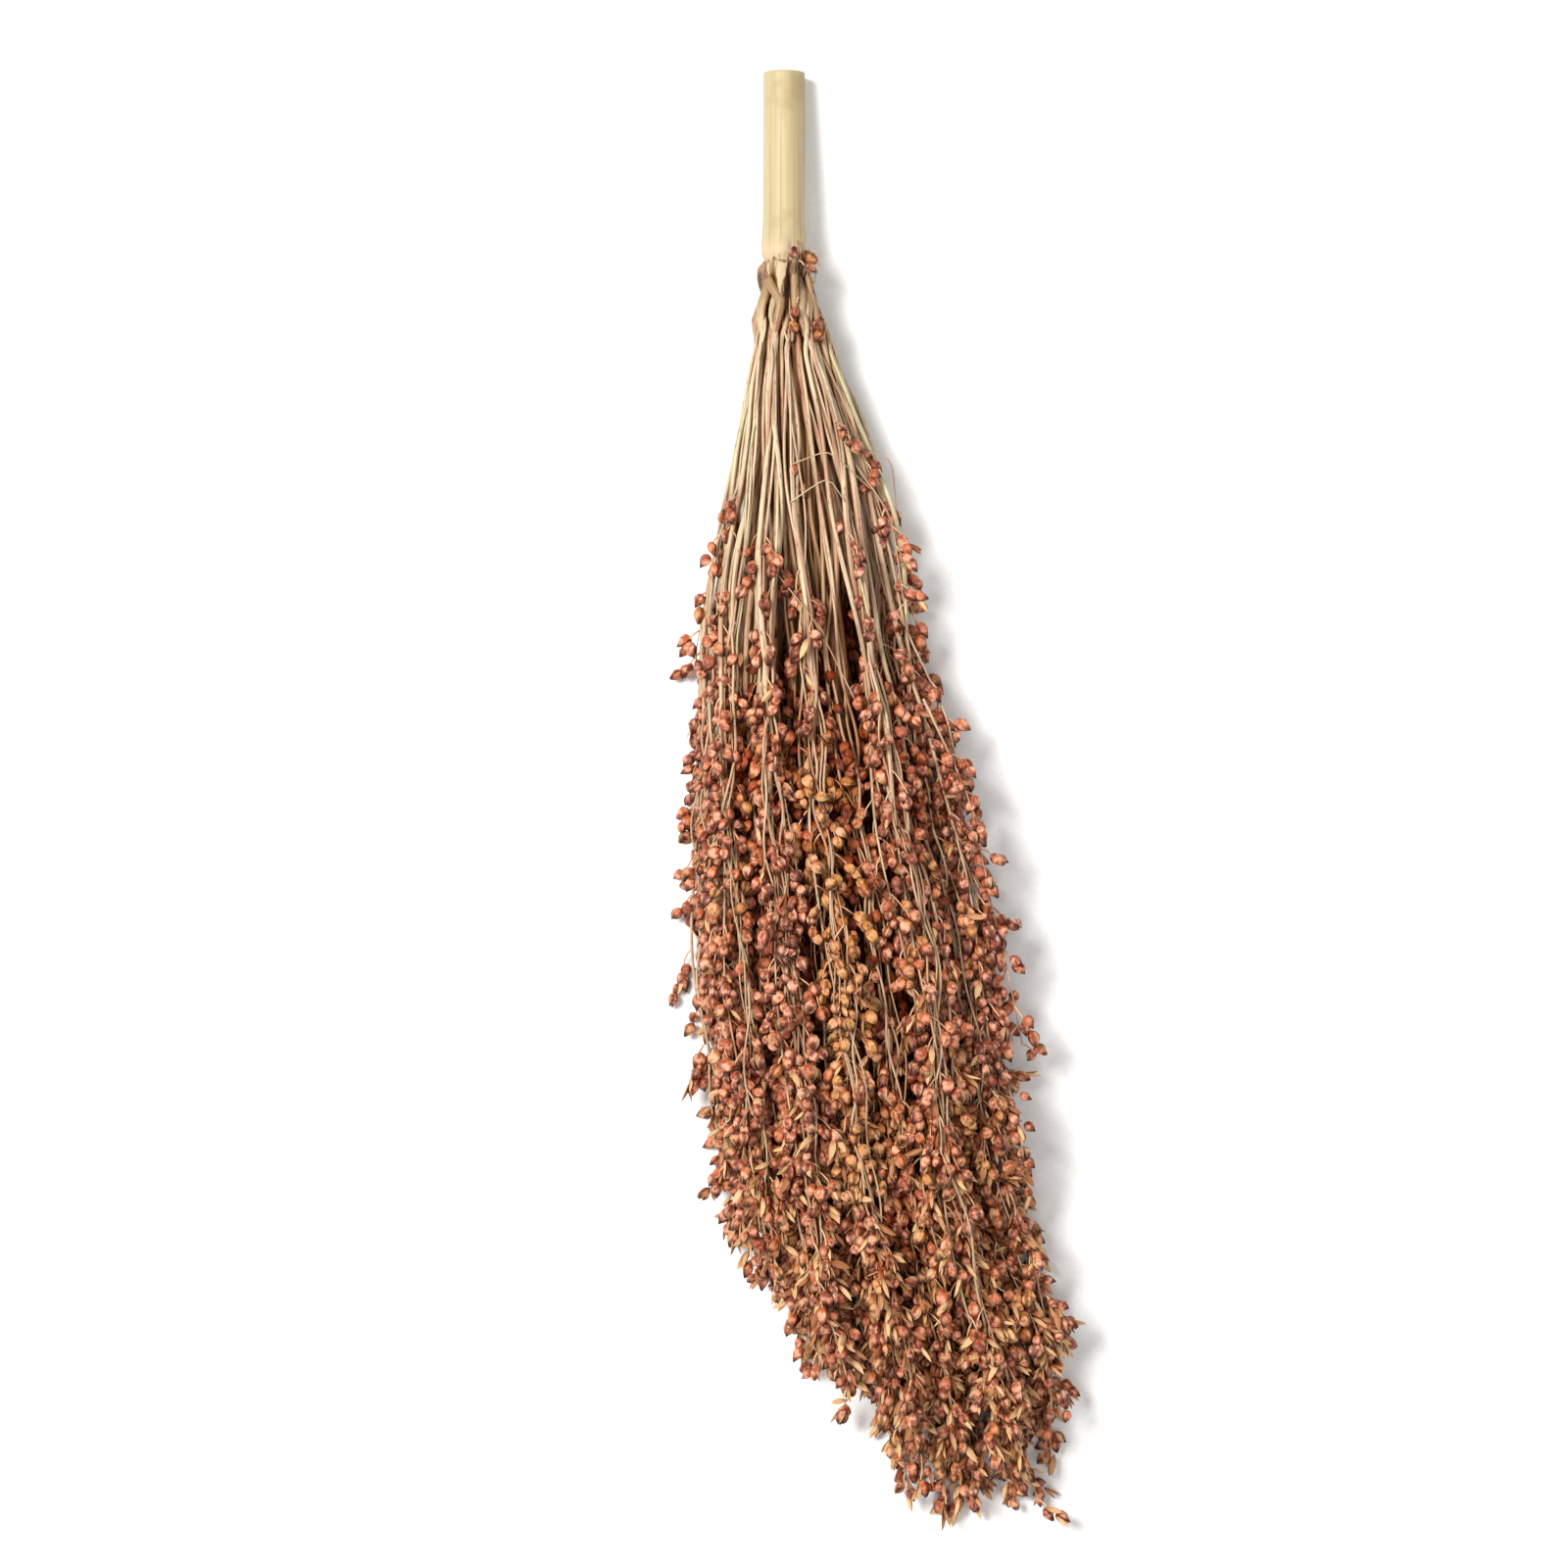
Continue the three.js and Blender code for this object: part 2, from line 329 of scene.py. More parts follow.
def seed_glume(colours):
    """The hard husk round a sorghum seed: smooth with faint veins, so it takes a soft highlight. It is rusty
    at its foot, dark at its tip, and its belly has a dusty film. The film is painted only where light
    reaches, on the bundle's outside, and painted shade darkens the husk deep inside and between neighbours."""
    material, tree, add = new_finish("seed husk, dusty polish", 0.48, 0.25)
    object_place = add("ShaderNodeTexCoord").outputs["Object"]
    around, along, _ = skin_axes(tree)
    names = ("tint", "ripeness", "sunned", "inside")
    marks = [add("ShaderNodeAttribute", attribute_name=name) for name in names]
    tint, ripeness, sunned, inside = (mark.outputs["Fac"] for mark in marks)
    clumps = stretched_noise(tree, object_place, (65, 40, 65), 1.0)  # a clump ripens together
    mottle = stretched_noise(tree, object_place, (650, 650, 650))
    own = add("ShaderNodeMapRange", (tint, 0.0, 1.0, -0.18, 0.18))
    shared = add("ShaderNodeMapRange", (clumps, 0.25, 0.75, -0.26, 0.26))
    ripe = add("ShaderNodeMath", (own, shared), operation="ADD")
    ripe = add("ShaderNodeMath", (ripeness, ripe), operation="ADD")
    ramp = add("ShaderNodeValToRGB", (ripe,))
    stops = ramp.color_ramp.elements
    stops[0].position, stops[0].color = 0.1, colours.ochre
    stops[1].position, stops[1].color = 0.95, colours.maroon
    for position, colour in ((0.3, colours.rust), (0.56, colours.brick)):
        stops.new(position).color = colour
    # The film is thickest round the belly, differs from seed to seed and is rubbed off in spots.
    film = add("ShaderNodeMath", (tint, 7.3), operation="MULTIPLY")
    film = add("ShaderNodeMath", (film,), operation="FRACT")
    film = add("ShaderNodeMapRange", (film, 0.0, 0.75, 0.4, 1.0))
    for limits in ((along, 0.08, 0.36, 0.0), (along, 0.9, 0.5, 0.0), (mottle, 0.36, 0.62, 0.2)):
        part = add("ShaderNodeMapRange", (*limits, 1.0), interpolation_type="SMOOTHSTEP")
        film = add("ShaderNodeMath", (film, part), operation="MULTIPLY")
    # Painted light: the film fades out towards the bundle's inside and shows fully only where light reaches
    film = add("ShaderNodeMath", (film, sunned), operation="MULTIPLY")
    turn = add("ShaderNodeMath", (around, math.tau), operation="MULTIPLY")
    seams = add("ShaderNodeMath", (turn,), operation="COSINE")
    seams = add("ShaderNodeMath", (seams,), operation="ABSOLUTE")
    colour = stained(
        tree, ramp,
        ("#5b2a1c", mottle, 0.5, 0.36, 0.55),
        ("#b5562c", along, 0.4, 0.08, 0.5),
        ("#35140f", along, 0.54, 0.88, 0.9),
        (colours.bloom, film, 0.0, 1.0),
        ("#3d1914", seams, 0.84, 1.0, 0.7),
        ("#c39a6c", along, 0.12, 0.02, 0.7),
        (colours.husk, inside, 0.2, 0.7),
    )
    veins = add("ShaderNodeMath", (turn, 14.0), operation="MULTIPLY")
    veins = add("ShaderNodeMath", (veins,), operation="SINE")
    veins = add("ShaderNodeMath", (veins, 0.35), operation="MULTIPLY")
    relief = add("ShaderNodeMath", (veins, mottle), operation="ADD")
    # Painted shade: darker and redder deep in the bundle and in the clefts between seeds
    dress(tree, painted_shade(tree, colour, 0.38, 5 * MM, 0.22), relief, 0.08 * MM)
    return material


def empty_husk(colours):
    """Dry, papery chaff: matt straw with browned feet and veins, and painted shade deep in the bundle and
    between neighbours.
    """
    material, tree, add = new_finish("papery husk, matt", 0.65, 0.3)
    around, along, _ = skin_axes(tree)
    tint = add("ShaderNodeAttribute", attribute_name="tint").outputs["Fac"]
    veins = add("ShaderNodeMath", (around, math.tau * 8), operation="MULTIPLY")
    veins = add("ShaderNodeMath", (veins,), operation="SINE")
    colour = stained(
        tree, colours.husk,
        ("#a3623c", tint, 0.45, 1.0),
        ("#8a5a36", veins, 0.1, 0.9, 0.6),
        ("#7d4530", along, 0.5, 0.05, 0.7),
    )
    # Painted shade: darker and redder deep in the bundle and between neighbours
    dress(tree, painted_shade(tree, colour, 0.45, 5 * MM, 0.4))
    return material


def backdrop_paper():
    """Matt white backdrop paper: it has no gloss, so it only takes the head's soft shadow."""
    material, tree, add = new_finish("backdrop paper, matt", 0.95)
    grain = stretched_noise(tree, add("ShaderNodeTexCoord").outputs["Object"], (700, 700, 700))
    dress(tree, stained(tree, linear("#f7f6f4"), ("#fbfbfa", grain, 0.3, 0.7)))
    return material


# The way each branch takes through the bundle, read from its CAD pieces


def sections_of(node_name):
    """A CAD piece's cross-sections from the stalk's end outwards: rows of x, y, z and half width."""
    corners = np.array([corner.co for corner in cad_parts[node_name].data.vertices])
    levels = np.round(corners[:, 1], 5)
    rows = []
    for level in sorted(set(levels), reverse=True):
        ring = corners[levels == level]
        low, high = ring.min(0), ring.max(0)
        rows.append([(low[0] + high[0]) / 2, level, (low[2] + high[2]) / 2, (high[0] - low[0]) / 2])
    return rows


class Lane:
    """One branch's way through the bundle. Distances are from the collar, in metres."""

    STEP = 2 * MM
    WINDOW = 11  # steps that are averaged, so that the CAD piece's straight stretches become one curve

    def __init__(self, number):
        stem = sections_of(f"branch_{number:02d}")
        spray = sections_of(f"seed_spray_{number:02d}")
        rows = np.array(stem + spray)
        distance = COLLAR_Y - rows[:, 1]
        self.number = number
        self.seeds_from = COLLAR_Y - spray[0][1]
        self.end = distance[-1]
        self.grid = np.arange(0, self.end + self.STEP, self.STEP)
        pad = self.WINDOW // 2
        even = np.full(self.WINDOW, 1 / self.WINDOW)
        self.rows = []
        for column in (rows[:, 0], rows[:, 2], rows[:, 3]):
            steps = np.interp(self.grid, distance, column)
            padded = np.pad(steps, pad, mode="reflect", reflect_type="odd")
            self.rows.append(np.convolve(padded, even, "valid"))

    def at(self, distance):
        """The x and z of the lane's middle and its half width, at each distance."""
        return [np.interp(distance, self.grid, row) for row in self.rows]


class Outline:
    """How far across and how high the whole bundle reaches along its length."""

    def __init__(self, lanes):
        self.grid = np.arange(0, max(lane.end for lane in lanes), 4 * MM)
        edges = []
        for lane in lanes:
            x, z, room = lane.at(self.grid)
            there = np.where(self.grid <= lane.end, 0, np.nan)
            edges.append([x - room + there, x + room + there, z - room + there, z + room + there])
        edges = np.array(edges)
        low_x, low_z = np.nanmin(edges[:, 0], 0), np.nanmin(edges[:, 2], 0)
        high_x, high_z = np.nanmax(edges[:, 1], 0), np.nanmax(edges[:, 3], 0)
        self.rows = [(low_x + high_x) / 2, (high_x - low_x) / 2, (low_z + high_z) / 2, (high_z - low_z) / 2]

    def sunned(self, path):
        """0 deep inside the bundle and 1 at its outside: how far light reaches in. It sets the painted shade
        that darkens colours inside, and how many seeds set. Light reaches deeper where the bundle fans out,
        and all of it at the tips."""
        distance = COLLAR_Y - path[:, 1]
        x, half_x, z, half_z = (np.interp(distance, self.grid, row) for row in self.rows)
        fanned = 0.25 * smooth(180 * MM, 270 * MM, distance) + 0.45 * smooth(310 * MM, 370 * MM, distance)
        share = np.hypot((path[:, 0] - x) / half_x, (path[:, 2] - z) / half_z)
        return smooth(0.4 - fanned, 0.9 - fanned, share)


# The stems of each branch, and where on them seeds grow

PATH_STEP = 3 * MM
ROOT_DEPTHS = (3 * MM, 8 * MM)  # how far the stems' roots run up inside the stalk
ROOT_SUNK = 0.7  # of its way to the stalk's middle, how far each root has sunk in there
ROOT_DRAWN = 0.12  # of its way to the middle, how far each root is drawn in just below the collar
FORKS = (3 * MM, 42 * MM)  # where the finer stems leave the main ones
FORK_LENGTH = 32 * MM
FORK_SPREAD = 2.1 * MM
SPRAY_SPREAD = 0.66  # of the CAD spray's half width, how far its stems stand from its middle
WANDER = 1.9 * MM
WANDER_LENGTHS = (80 * MM, 190 * MM)
ROOT_WAVE = 1.15 * MM
ROOT_WAVE_LENGTHS = (15 * MM, 25 * MM)
WIDTH_CHANCE = (0.72, 1.3)  # of a stem's usual width
MAIN_SWELLING = 0.95  # of its width, what a main stem gains at the collar
FINE_SWELLING = 0.25
STEM_TIP_SHARE = 0.4  # of its width, what a stem keeps among the seeds
RUNNER_TIP_SHARE = 0.7
FINE_SHARE = 0.7  # a finer stem's width against a main one's
RUNNERS = 4  # the finest stems of each branch, which run bare over its spray and bear seeds at their tips
RUNNER_SHARE = 0.44  # a runner's width against a main stem's
RUNNER_SPREAD = 1.15  # of the CAD spray's half width, how far runners stand from its middle
RUNNER_GAP = 0.17  # radians round the lane from one runner to the next
RUNNER_TIP = 32 * MM  # the length of a runner that bears seeds
KINK = 0.9 * MM  # how far runners swing from side to side
KINK_LENGTHS = (24 * MM, 45 * MM)
RIGHT_LOOSENED = 0.27  # how much farther to the right the stems near the collar stand than their CAD pieces
BUNCH_LENGTHS = (22 * MM, 34 * MM)  # from one bunching of the twigs to the next
USUALLY_FULL = 0.84  # of its longest twigs, what a stem bears between a bunching and a gap
BUNCH_SWING = 0.24
TUFT_FULL = 0.75
GOLDEN_AT = (205 * MM, 13 * MM)  # a branch that stayed golden: its distance from the collar and its side
GOLDEN_STRETCH = (150 * MM, 296 * MM)

# Tufts of seeds on the bare part of the branches: the distance from the collar, how far to the side of the
# collar, and the length of stem that bears them, all in millimetres.
STRAY_TUFTS = (
    (50, 21, 6),
    (61, 3, 7),
    (80, -19, 13),
    (92, -6, 9),
    (101, 3, 11),
    (108, 8, 13),
    (86, 18, 7),
    (112, -24, 18),
    (116, -12, 12),
    (112, 24, 8),
    (124, 2, 11),
)
# Racemes that have come loose from the bundle: where each leaves it, where it bends and where it ends, as
# distance, side and height, the share of its length after which it bears seeds, how full of them it is, and
# how ripe they are.
LOOSE_RACEMES = (
    ((8.1, 2.6, 20), (5.1, 3.2, 23.8), (1.3, 3.4, 24), 0.5, 0.3, 0.62),
    ((6, 5.6, 17.5), (3.5, 6.6, 21.3), (-0.4, 7, 21.5), 0.5, 0.3, 0.55),
    ((10, 8, 17), (7.5, 9.4, 20.3), (3.8, 10.2, 20.5), 0.5, 0.3, 0.2),
    ((-6, 4.5, 21), (-3, 4.7, 24.8), (0.7, 4.7, 25.8), 0.5, 0.3, 0.95),
    ((5.6, 4, 20), (8.6, 4.3, 24.5), (12.2, 4.5, 25), 0.5, 0.3, 0.5),
    ((11.4, 1.9, 20), (14.4, 1.8, 24.5), (18.1, 1.9, 25), 0.5, 0.3, 0.35),
    ((29.6, 9, 17), (27.1, 9.6, 21), (23.3, 9.6, 21.5), 0.5, 0.3, 0.6),
    ((14, 10.5, 15), (17, 12, 19), (20.7, 13.5, 19.6), 0.5, 0.3, 0.25),
    ((30, 12, 18), (52, 22, 24), (118, 43, 16), 0.5, 0.62, 0.45),
    ((60, 19, 22), (82, 34, 30), (110, 38, 30), 0.42, 0.62, 0.5),
    ((70, -14, 20), (92, -22, 22), (124, -28, 18), 0.35, 0.62, 0.5),
    ((112, 36, 22), (146, 52, 26), (176, 58, 20), 0.3, 0.62, 0.5),
    ((140, 44, 32), (172, 59, 32), (206, 66, 24), 0.2, 0.62, 0.5),
    ((318, 74, 12), (340, 84, 14), (364, 87, 8), 0.3, 0.62, 0.55),
    ((196, 60, 24), (212, 68, 26), (250, 76, 20), 0.25, 0.62, 0.5),
    ((350, 36, 10), (368, 36, 9), (389, 39, 5), 0.62, 0.62, 0.6),
    ((250, 66, 30), (268, 73, 30), (292, 76, 24), 0.3, 0.62, 0.5),
    ((344, 60, 18), (372, 70, 14), (397, 82, 8), 0.2, 0.62, 0.6),
)
# Thick roots that wind over the collar: the places each passes, as above, and its width.
COLLAR_ROOTS = (
    (((0, -4.7, 19), (6, -5, 20.4), (10, -3.2, 23), (13.5, -0.7, 24.4), (19, -2, 24), (30, -4, 21)), 3.2),
    (((-3, 3.4, 20.4), (4, 3, 22), (12, 3.6, 23.4), (26, 2.6, 22)), 2.8),
    (((-1, 7, 17), (8, 8, 19), (20, 11, 19), (36, 15, 17)), 2.6),
)
# Bare threads that have sprung out over the branches: where each starts, bends and ends, as above.
THREADS = (
    ((66, 2, 30), (62, 14, 41), (73, 27, 27)),
    ((78, 2, 34), (70, 14, 38), (82, 22, 30)),
    ((60, 20, 24), (64, 34, 33), (80, 36, 20)),
    ((96, -6, 32), (116, 10, 45), (140, 22, 42)),
    ((170, 0, 46), (205, 6, 57), (230, -4, 46)),
)
PATH_POINTS = 12  # of a bent path, for each place that it is drawn through
ROUNDINGS = 14  # how often a bent path's corners are rounded off
LOOSE_WIDTH = 0.85 * MM
LOOSE_TAPER = 0.55  # the share of its width that a loose raceme loses by its end
THREAD_WIDTH = 0.4 * MM

STEM_SIDES = 9
TWIG_POINTS = 6
TWIG_BEND = 7 * MM
LEAST_FULL = 0.2  # a stem bears no twigs where it is less full than this
GOLDEN_ANGLE = math.pi * (3 - math.sqrt(5))
SEEDS_SET_INSIDE = 0.7  # the share of its seeds that a spray keeps deep inside the bundle
LOWEST = 0.05 * MM  # above the surface that the head lies on


def bent_path(places):
    """Points along a smooth curve from the first place to the last, past those between, in millimetres."""
    corners = np.array(places, float) * MM
    at = np.linspace(0, len(corners) - 1, PATH_POINTS * len(corners))
    curve = np.stack([np.interp(at, np.arange(len(corners)), column) for column in corners.T], 1)
    for _ in range(ROUNDINGS):
        curve[1:-1] = (curve[:-2] + 2 * curve[1:-1] + curve[2:]) / 4
    return np.stack([COLLAR_X + curve[:, 1], COLLAR_Y - curve[:, 0], curve[:, 2]], 1)


class Stem:
    """One stem: its path, its half width along it and the seeds it bears."""

    def __init__(self, lane, path, thickness, fullness, chance):
        self.lane = lane
        self.path = path
        self.path[:, 2] = np.clip(path[:, 2], thickness + 0.1 * MM, CAD_BOX[1][2] - 3 * MM)
        self.distance = COLLAR_Y - path[:, 1]
        self.thickness = thickness
        self.fullness = fullness
        self.tint = np.full(len(path), chance.random())
        # Seeds ripen from 0, ochre, to 1, maroon, a little later towards the tips, and shed more chaff there.
        self.ripeness = 0.46 - 0.05 * smooth(200 * MM, 280 * MM, self.distance) + chance.normal(0, 0.11)
        self.chaff = 0.08 + 0.92 * smooth(200 * MM, 360 * MM, self.distance)

    def near(self, distance, side):
        """How far this stem is from the top of the bundle at a place."""
        gap = np.abs(self.distance - distance)
        nearest = gap.argmin()
        if gap[nearest] > PATH_STEP:
            return math.inf
        x, _, z = self.path[nearest]
        return abs(x - COLLAR_X - side) - 0.6 * z


def stems_of(lane, heart, sizes, chance):
    """A lane's main stem and the finer ones that part from it."""
    count = 3 + (chance.random() < 0.5)
    turn, twist = chance.uniform(0, math.tau), chance.normal(0, 5)
    upper = math.pi / 2 + chance.normal(0, 0.6)  # runners lie side by side on a lane's upper side
    stems = []
    for index in range(count + RUNNERS):
        main, runner = index == 0, index >= count
        share = 1 if main else RUNNER_SHARE if runner else FINE_SHARE
        end = lane.seeds_from + (1 if main else chance.uniform(0.6, 0.98)) * (lane.end - lane.seeds_from)
        fork = chance.uniform(*FORKS)
        start = -chance.uniform(*ROOT_DEPTHS) if main else fork
        distance = np.arange(start, end, PATH_STEP)
        x, z, room = lane.at(distance)
        parted = smooth(fork, fork + FORK_LENGTH, distance) * FORK_SPREAD
        in_spray = smooth(lane.seeds_from - 50 * MM, lane.seeds_from + 30 * MM, distance)
        spread = parted * (1 - in_spray) + in_spray * (RUNNER_SPREAD if runner else SPRAY_SPREAD) * room
        angle = upper + RUNNER_GAP * (index - count) if runner else turn + math.tau * index / count
        angle = angle + twist * distance * (not runner)
        sunk = ROOT_SUNK * smooth(2 * MM, -5 * MM, distance) + ROOT_DRAWN * smooth(20 * MM, 6 * MM, distance)
        x, z = x + sunk * (heart[0] - x), z + sunk * (heart[1] - z)
        path = np.stack([x + spread * np.cos(angle), COLLAR_Y - distance, z + spread * np.sin(angle)], 1)
        at_root = smooth(-6 * MM, 5 * MM, distance) * smooth(38 * MM, 14 * MM, distance)
        waves = (
            (WANDER * smooth(20 * MM, 90 * MM, distance), WANDER_LENGTHS),
            (ROOT_WAVE * at_root, ROOT_WAVE_LENGTHS),
            (KINK * runner * in_spray, KINK_LENGTHS),
        )
        for axis in (0, 2):
            for swing, lengths in waves:
                length, phase = chance.uniform(*lengths), chance.uniform(0, math.tau)
                path[:, axis] += swing * np.sin(math.tau * distance / length + phase)
        side = path[:, 0] - COLLAR_X
        loosened = RIGHT_LOOSENED * smooth(4 * MM, 20 * MM, distance) * smooth(130 * MM, 50 * MM, distance)
        path[:, 0] += loosened * np.maximum(side, 0)
        half = sizes.stem_width / 2 * chance.uniform(*WIDTH_CHANCE) * share
        rooted = 0.35 + 0.65 * smooth(start, start + 7 * MM, distance)
        swollen = 1 + (MAIN_SWELLING if main else FINE_SWELLING) * smooth(32 * MM, 5 * MM, distance)
        tip_share = RUNNER_TIP_SHARE if runner else STEM_TIP_SHARE
        slimmed = smooth(lane.seeds_from - 25 * MM, lane.seeds_from + 90 * MM, distance)
        tapered = 1 - (1 - tip_share) * slimmed
        # A few seeds often grow above the place where the spray begins.
        first = lane.seeds_from + chance.uniform(-24, 8) * MM
        likely = 0.3 - 0.2 * np.sign(lane.at(first)[0] - COLLAR_X)
        early = chance.uniform(16, 44) * MM * (chance.random() < likely)
        bunch, phase = chance.uniform(*BUNCH_LENGTHS), chance.uniform(0, math.tau)
        wave = np.sin(math.tau * distance / bunch + phase)
        fullness = smooth(first, first + 14 * MM, distance) * (USUALLY_FULL + BUNCH_SWING * wave)
        tufted = (distance > first - early) * (distance < first) * (wave > 0.35)
        fullness = np.maximum(fullness, TUFT_FULL * tufted)
        fullness *= 0.55 + 0.45 * smooth(0, 34 * MM, end - distance)
        if runner:
            fullness *= smooth(RUNNER_TIP, 0.7 * RUNNER_TIP, end - distance)
        stems.append(Stem(lane, path, half * rooted * swollen * tapered, fullness, chance))
    return stems


def bundle(sizes):
    """Every stem of the head, the same each time."""
    chance = np.random.default_rng(PLAN_SEED)
    lanes = [Lane(number) for number in range(1, LANES + 1)]
    heart = np.mean([lane.at(0)[:2] for lane in lanes], 0)
    grown = [stem for lane in lanes for stem in stems_of(lane, heart, sizes, chance)]
    golden = min(grown, key=lambda stem: stem.near(*GOLDEN_AT)).lane
    for stem in grown:
        if stem.lane is golden:
            low, high = GOLDEN_STRETCH
            inside = smooth(low - 8 * MM, low, stem.distance) * smooth(high, high - 8 * MM, stem.distance)
            stem.ripeness += inside * (-0.02 - stem.ripeness)
    for distance, side, length in np.array(STRAY_TUFTS) * MM:
        stem = min(grown, key=lambda stem: stem.near(distance, side))
        inside = np.abs(stem.distance - distance) <= length / 2 + PATH_STEP / 2
        stem.fullness = np.where(inside, 0.8, stem.fullness)
    loose = []

    def add_loose(places, thickness, fullness=0.0):
        """Adds a stem that the nearest branch owns. Its width and fullness change along it."""
        path = bent_path(places)
        parent = min(grown, key=lambda stem: stem.near(places[0][0] * MM, places[0][1] * MM)).lane
        even = np.ones(len(path))
        loose.append(Stem(parent, path, thickness * even, fullness * even, chance))
        return loose[-1]

    for start, bend, end, bare, full, ripeness in LOOSE_RACEMES:
        share = np.linspace(0, 1, 3 * PATH_POINTS)
        fullness = full * smooth(bare - 0.01, bare + 0.04, share)
        thickness = LOOSE_WIDTH / 2 * (1 - LOOSE_TAPER * share)
        add_loose((start, bend, end), thickness, fullness).ripeness[:] = ripeness
    for thread in THREADS:
        add_loose(thread, THREAD_WIDTH / 2)
    for places, width in COLLAR_ROOTS:
        share = np.linspace(0, 1, PATH_POINTS * len(places))
        add_loose(places, width / 2 * MM * smooth(-0.2, 0.3, share) * smooth(1.25, 0.6, share))
    outline = Outline(lanes)
    # How far light reaches each point, for the painted shade and for how many seeds set
    for stem in grown + loose:
        stem.sunned = outline.sunned(stem.path)
    return grown + loose


def path_mesh(name, stems):
    """The stems' paths as strings of edges, with what the growth trees read stored on their points."""
    mesh = bpy.data.meshes.new(name)
    points, edges, first = [], [], 0
    for stem in stems:
        count = len(stem.path)
        points.extend(map(tuple, stem.path))
        edges.extend((first + index, first + index + 1) for index in range(count - 1))
        first += count
    mesh.from_pydata(points, edges, [])
    columns = {"string": [np.full(len(stem.path), index) for index, stem in enumerate(stems)]}
    for column in ("thickness", "fullness", "ripeness", "chaff", "sunned", "tint"):
        columns[column] = [getattr(stem, column) for stem in stems]
    for column, values in columns.items():
        stored = mesh.attributes.new(column, "FLOAT", "POINT")
        stored.data.foreach_set("value", np.concatenate(values).astype(np.float32))
    return mesh


# The seeds and husks that the twigs carry: a unit long, base at the origin and tip up +Z


def part_mesh(name, parts):
    """Joins parts into one mesh. A part is its corners, its faces, and for each corner how far round it lies
    (-1 at a pole), how far along and how far inside."""
    corners, faces, marks = [], [], []
    for number, (part_corners, part_faces, part_marks) in enumerate(parts):
        faces += [[len(corners) + index for index in face] for face in part_faces]
        corners += part_corners
        marks += [(*mark, number) for mark in part_marks]
    mesh = bpy.data.meshes.new(name)
    mesh.from_pydata(corners, [], faces)
    for column, values in zip(("around", "along", "inside", "part"), zip(*marks)):
        mesh.attributes.new(column, "FLOAT", "POINT").data.foreach_set("value", values)
    mesh.shade_smooth()
    mesh.set_sharp_from_angle(angle=math.radians(42))
    return mesh


def skin_faces(rings, sides, first, foot, tip, turned=False):
    """The faces over rings of corners, the first of which starts at the corner first, closed at the corners
    foot and tip. A skin that is numbered the other way round has its faces turned."""
    faces = []
    last = first + (rings - 1) * sides
    for index in range(sides):
        after = (index + 1) % sides
        strip = [(foot, first + after, first + index)]
        for low in range(first, last, sides):
            high = low + sides
            strip.append((low + index, low + after, high + after, high + index))
        strip.append((last + index, last + after, tip))
        faces += [(face[0], *face[:0:-1]) for face in strip] if turned else strip
    return faces


def closed_husk(outline, sides, depth, groove, lean, split=0.0):
    """A husk closed round its seed. outline is rows of height and half width; depth is its thickness against
    its width; a groove runs down each side where the two halves meet; split is how far their tips part."""
    corners, marks = [(0, 0, 0)], [(-1, 0, 0)]
    for row, (height, half) in enumerate(outline):
        last = row == len(outline) - 1
        for index in range(sides):
            angle = math.tau * index / sides
            pinch = 1 - groove * (abs(math.cos(angle)) > 0.99)
            fuller = 1.08 if math.sin(angle) > 0.01 else 1.0
            reach = height + last * split * (1.2 * abs(math.sin(angle)) - 0.5)
            x = half * pinch * math.cos(angle) + lean * height**2
            corners.append((x, half * depth * fuller * math.sin(angle), reach))
            marks.append((index / sides, height, 0))
    corners.append((lean, 0, 1 - 1.7 * split))
    marks.append((-1, 1, 0.9 if split else 0))
    return corners, skin_faces(len(outline), sides, 1, 0, len(corners) - 1), marks


def open_scale(half_width, cup, flare, turn, length=1.0, first=0.0):
    """One boat-shaped scale of an open husk, standing on a side of the seed. Its hollow faces the seed."""
    corners, marks = [(0, 0.02, first)], [(-1, 0, 0)]
    for share, width in SCALE_OUTLINE:
        out = flare * share**2
        for side in (-1, 0, 1, None):  # one edge, the outer ridge, the other edge and the hollow
            across = side or 0
            bow = cup * width * (0.25 if side is None else 1 - abs(across))
            corners.append((half_width * width * across, bow + out, first + share * length))
            inner = 0.5 if side is None else 0
            marks.append(((across + 1) / 4 + inner, share, 1.0 if side is None else 0.5 * abs(across)))
    corners.append((0, flare + 0.01, first + length))
    marks.append((-1, 1, 0.3))
    faces = skin_faces(len(SCALE_OUTLINE), 4, 1, 0, len(corners) - 1, turned=True)
    cosine, sine = math.cos(turn), math.sin(turn)
    return [(x * cosine - y * sine, x * sine + y * cosine, z) for x, y, z in corners], faces, marks


PLUMP = ((0.05, 0.18), (0.2, 0.34), (0.44, 0.4), (0.68, 0.27), (0.86, 0.1))
ROUND = ((0.05, 0.22), (0.19, 0.38), (0.42, 0.42), (0.64, 0.31), (0.83, 0.12))
SLENDER = ((0.06, 0.15), (0.24, 0.29), (0.46, 0.34), (0.7, 0.22), (0.88, 0.07))
GRAIN = ((0.2, 0.24), (0.45, 0.32), (0.7, 0.18))
SCALE_OUTLINE = ((0.22, 0.75), (0.5, 1.0), (0.78, 0.72))  # of an open scale: how far along and how wide
SEED_SIDES = 8


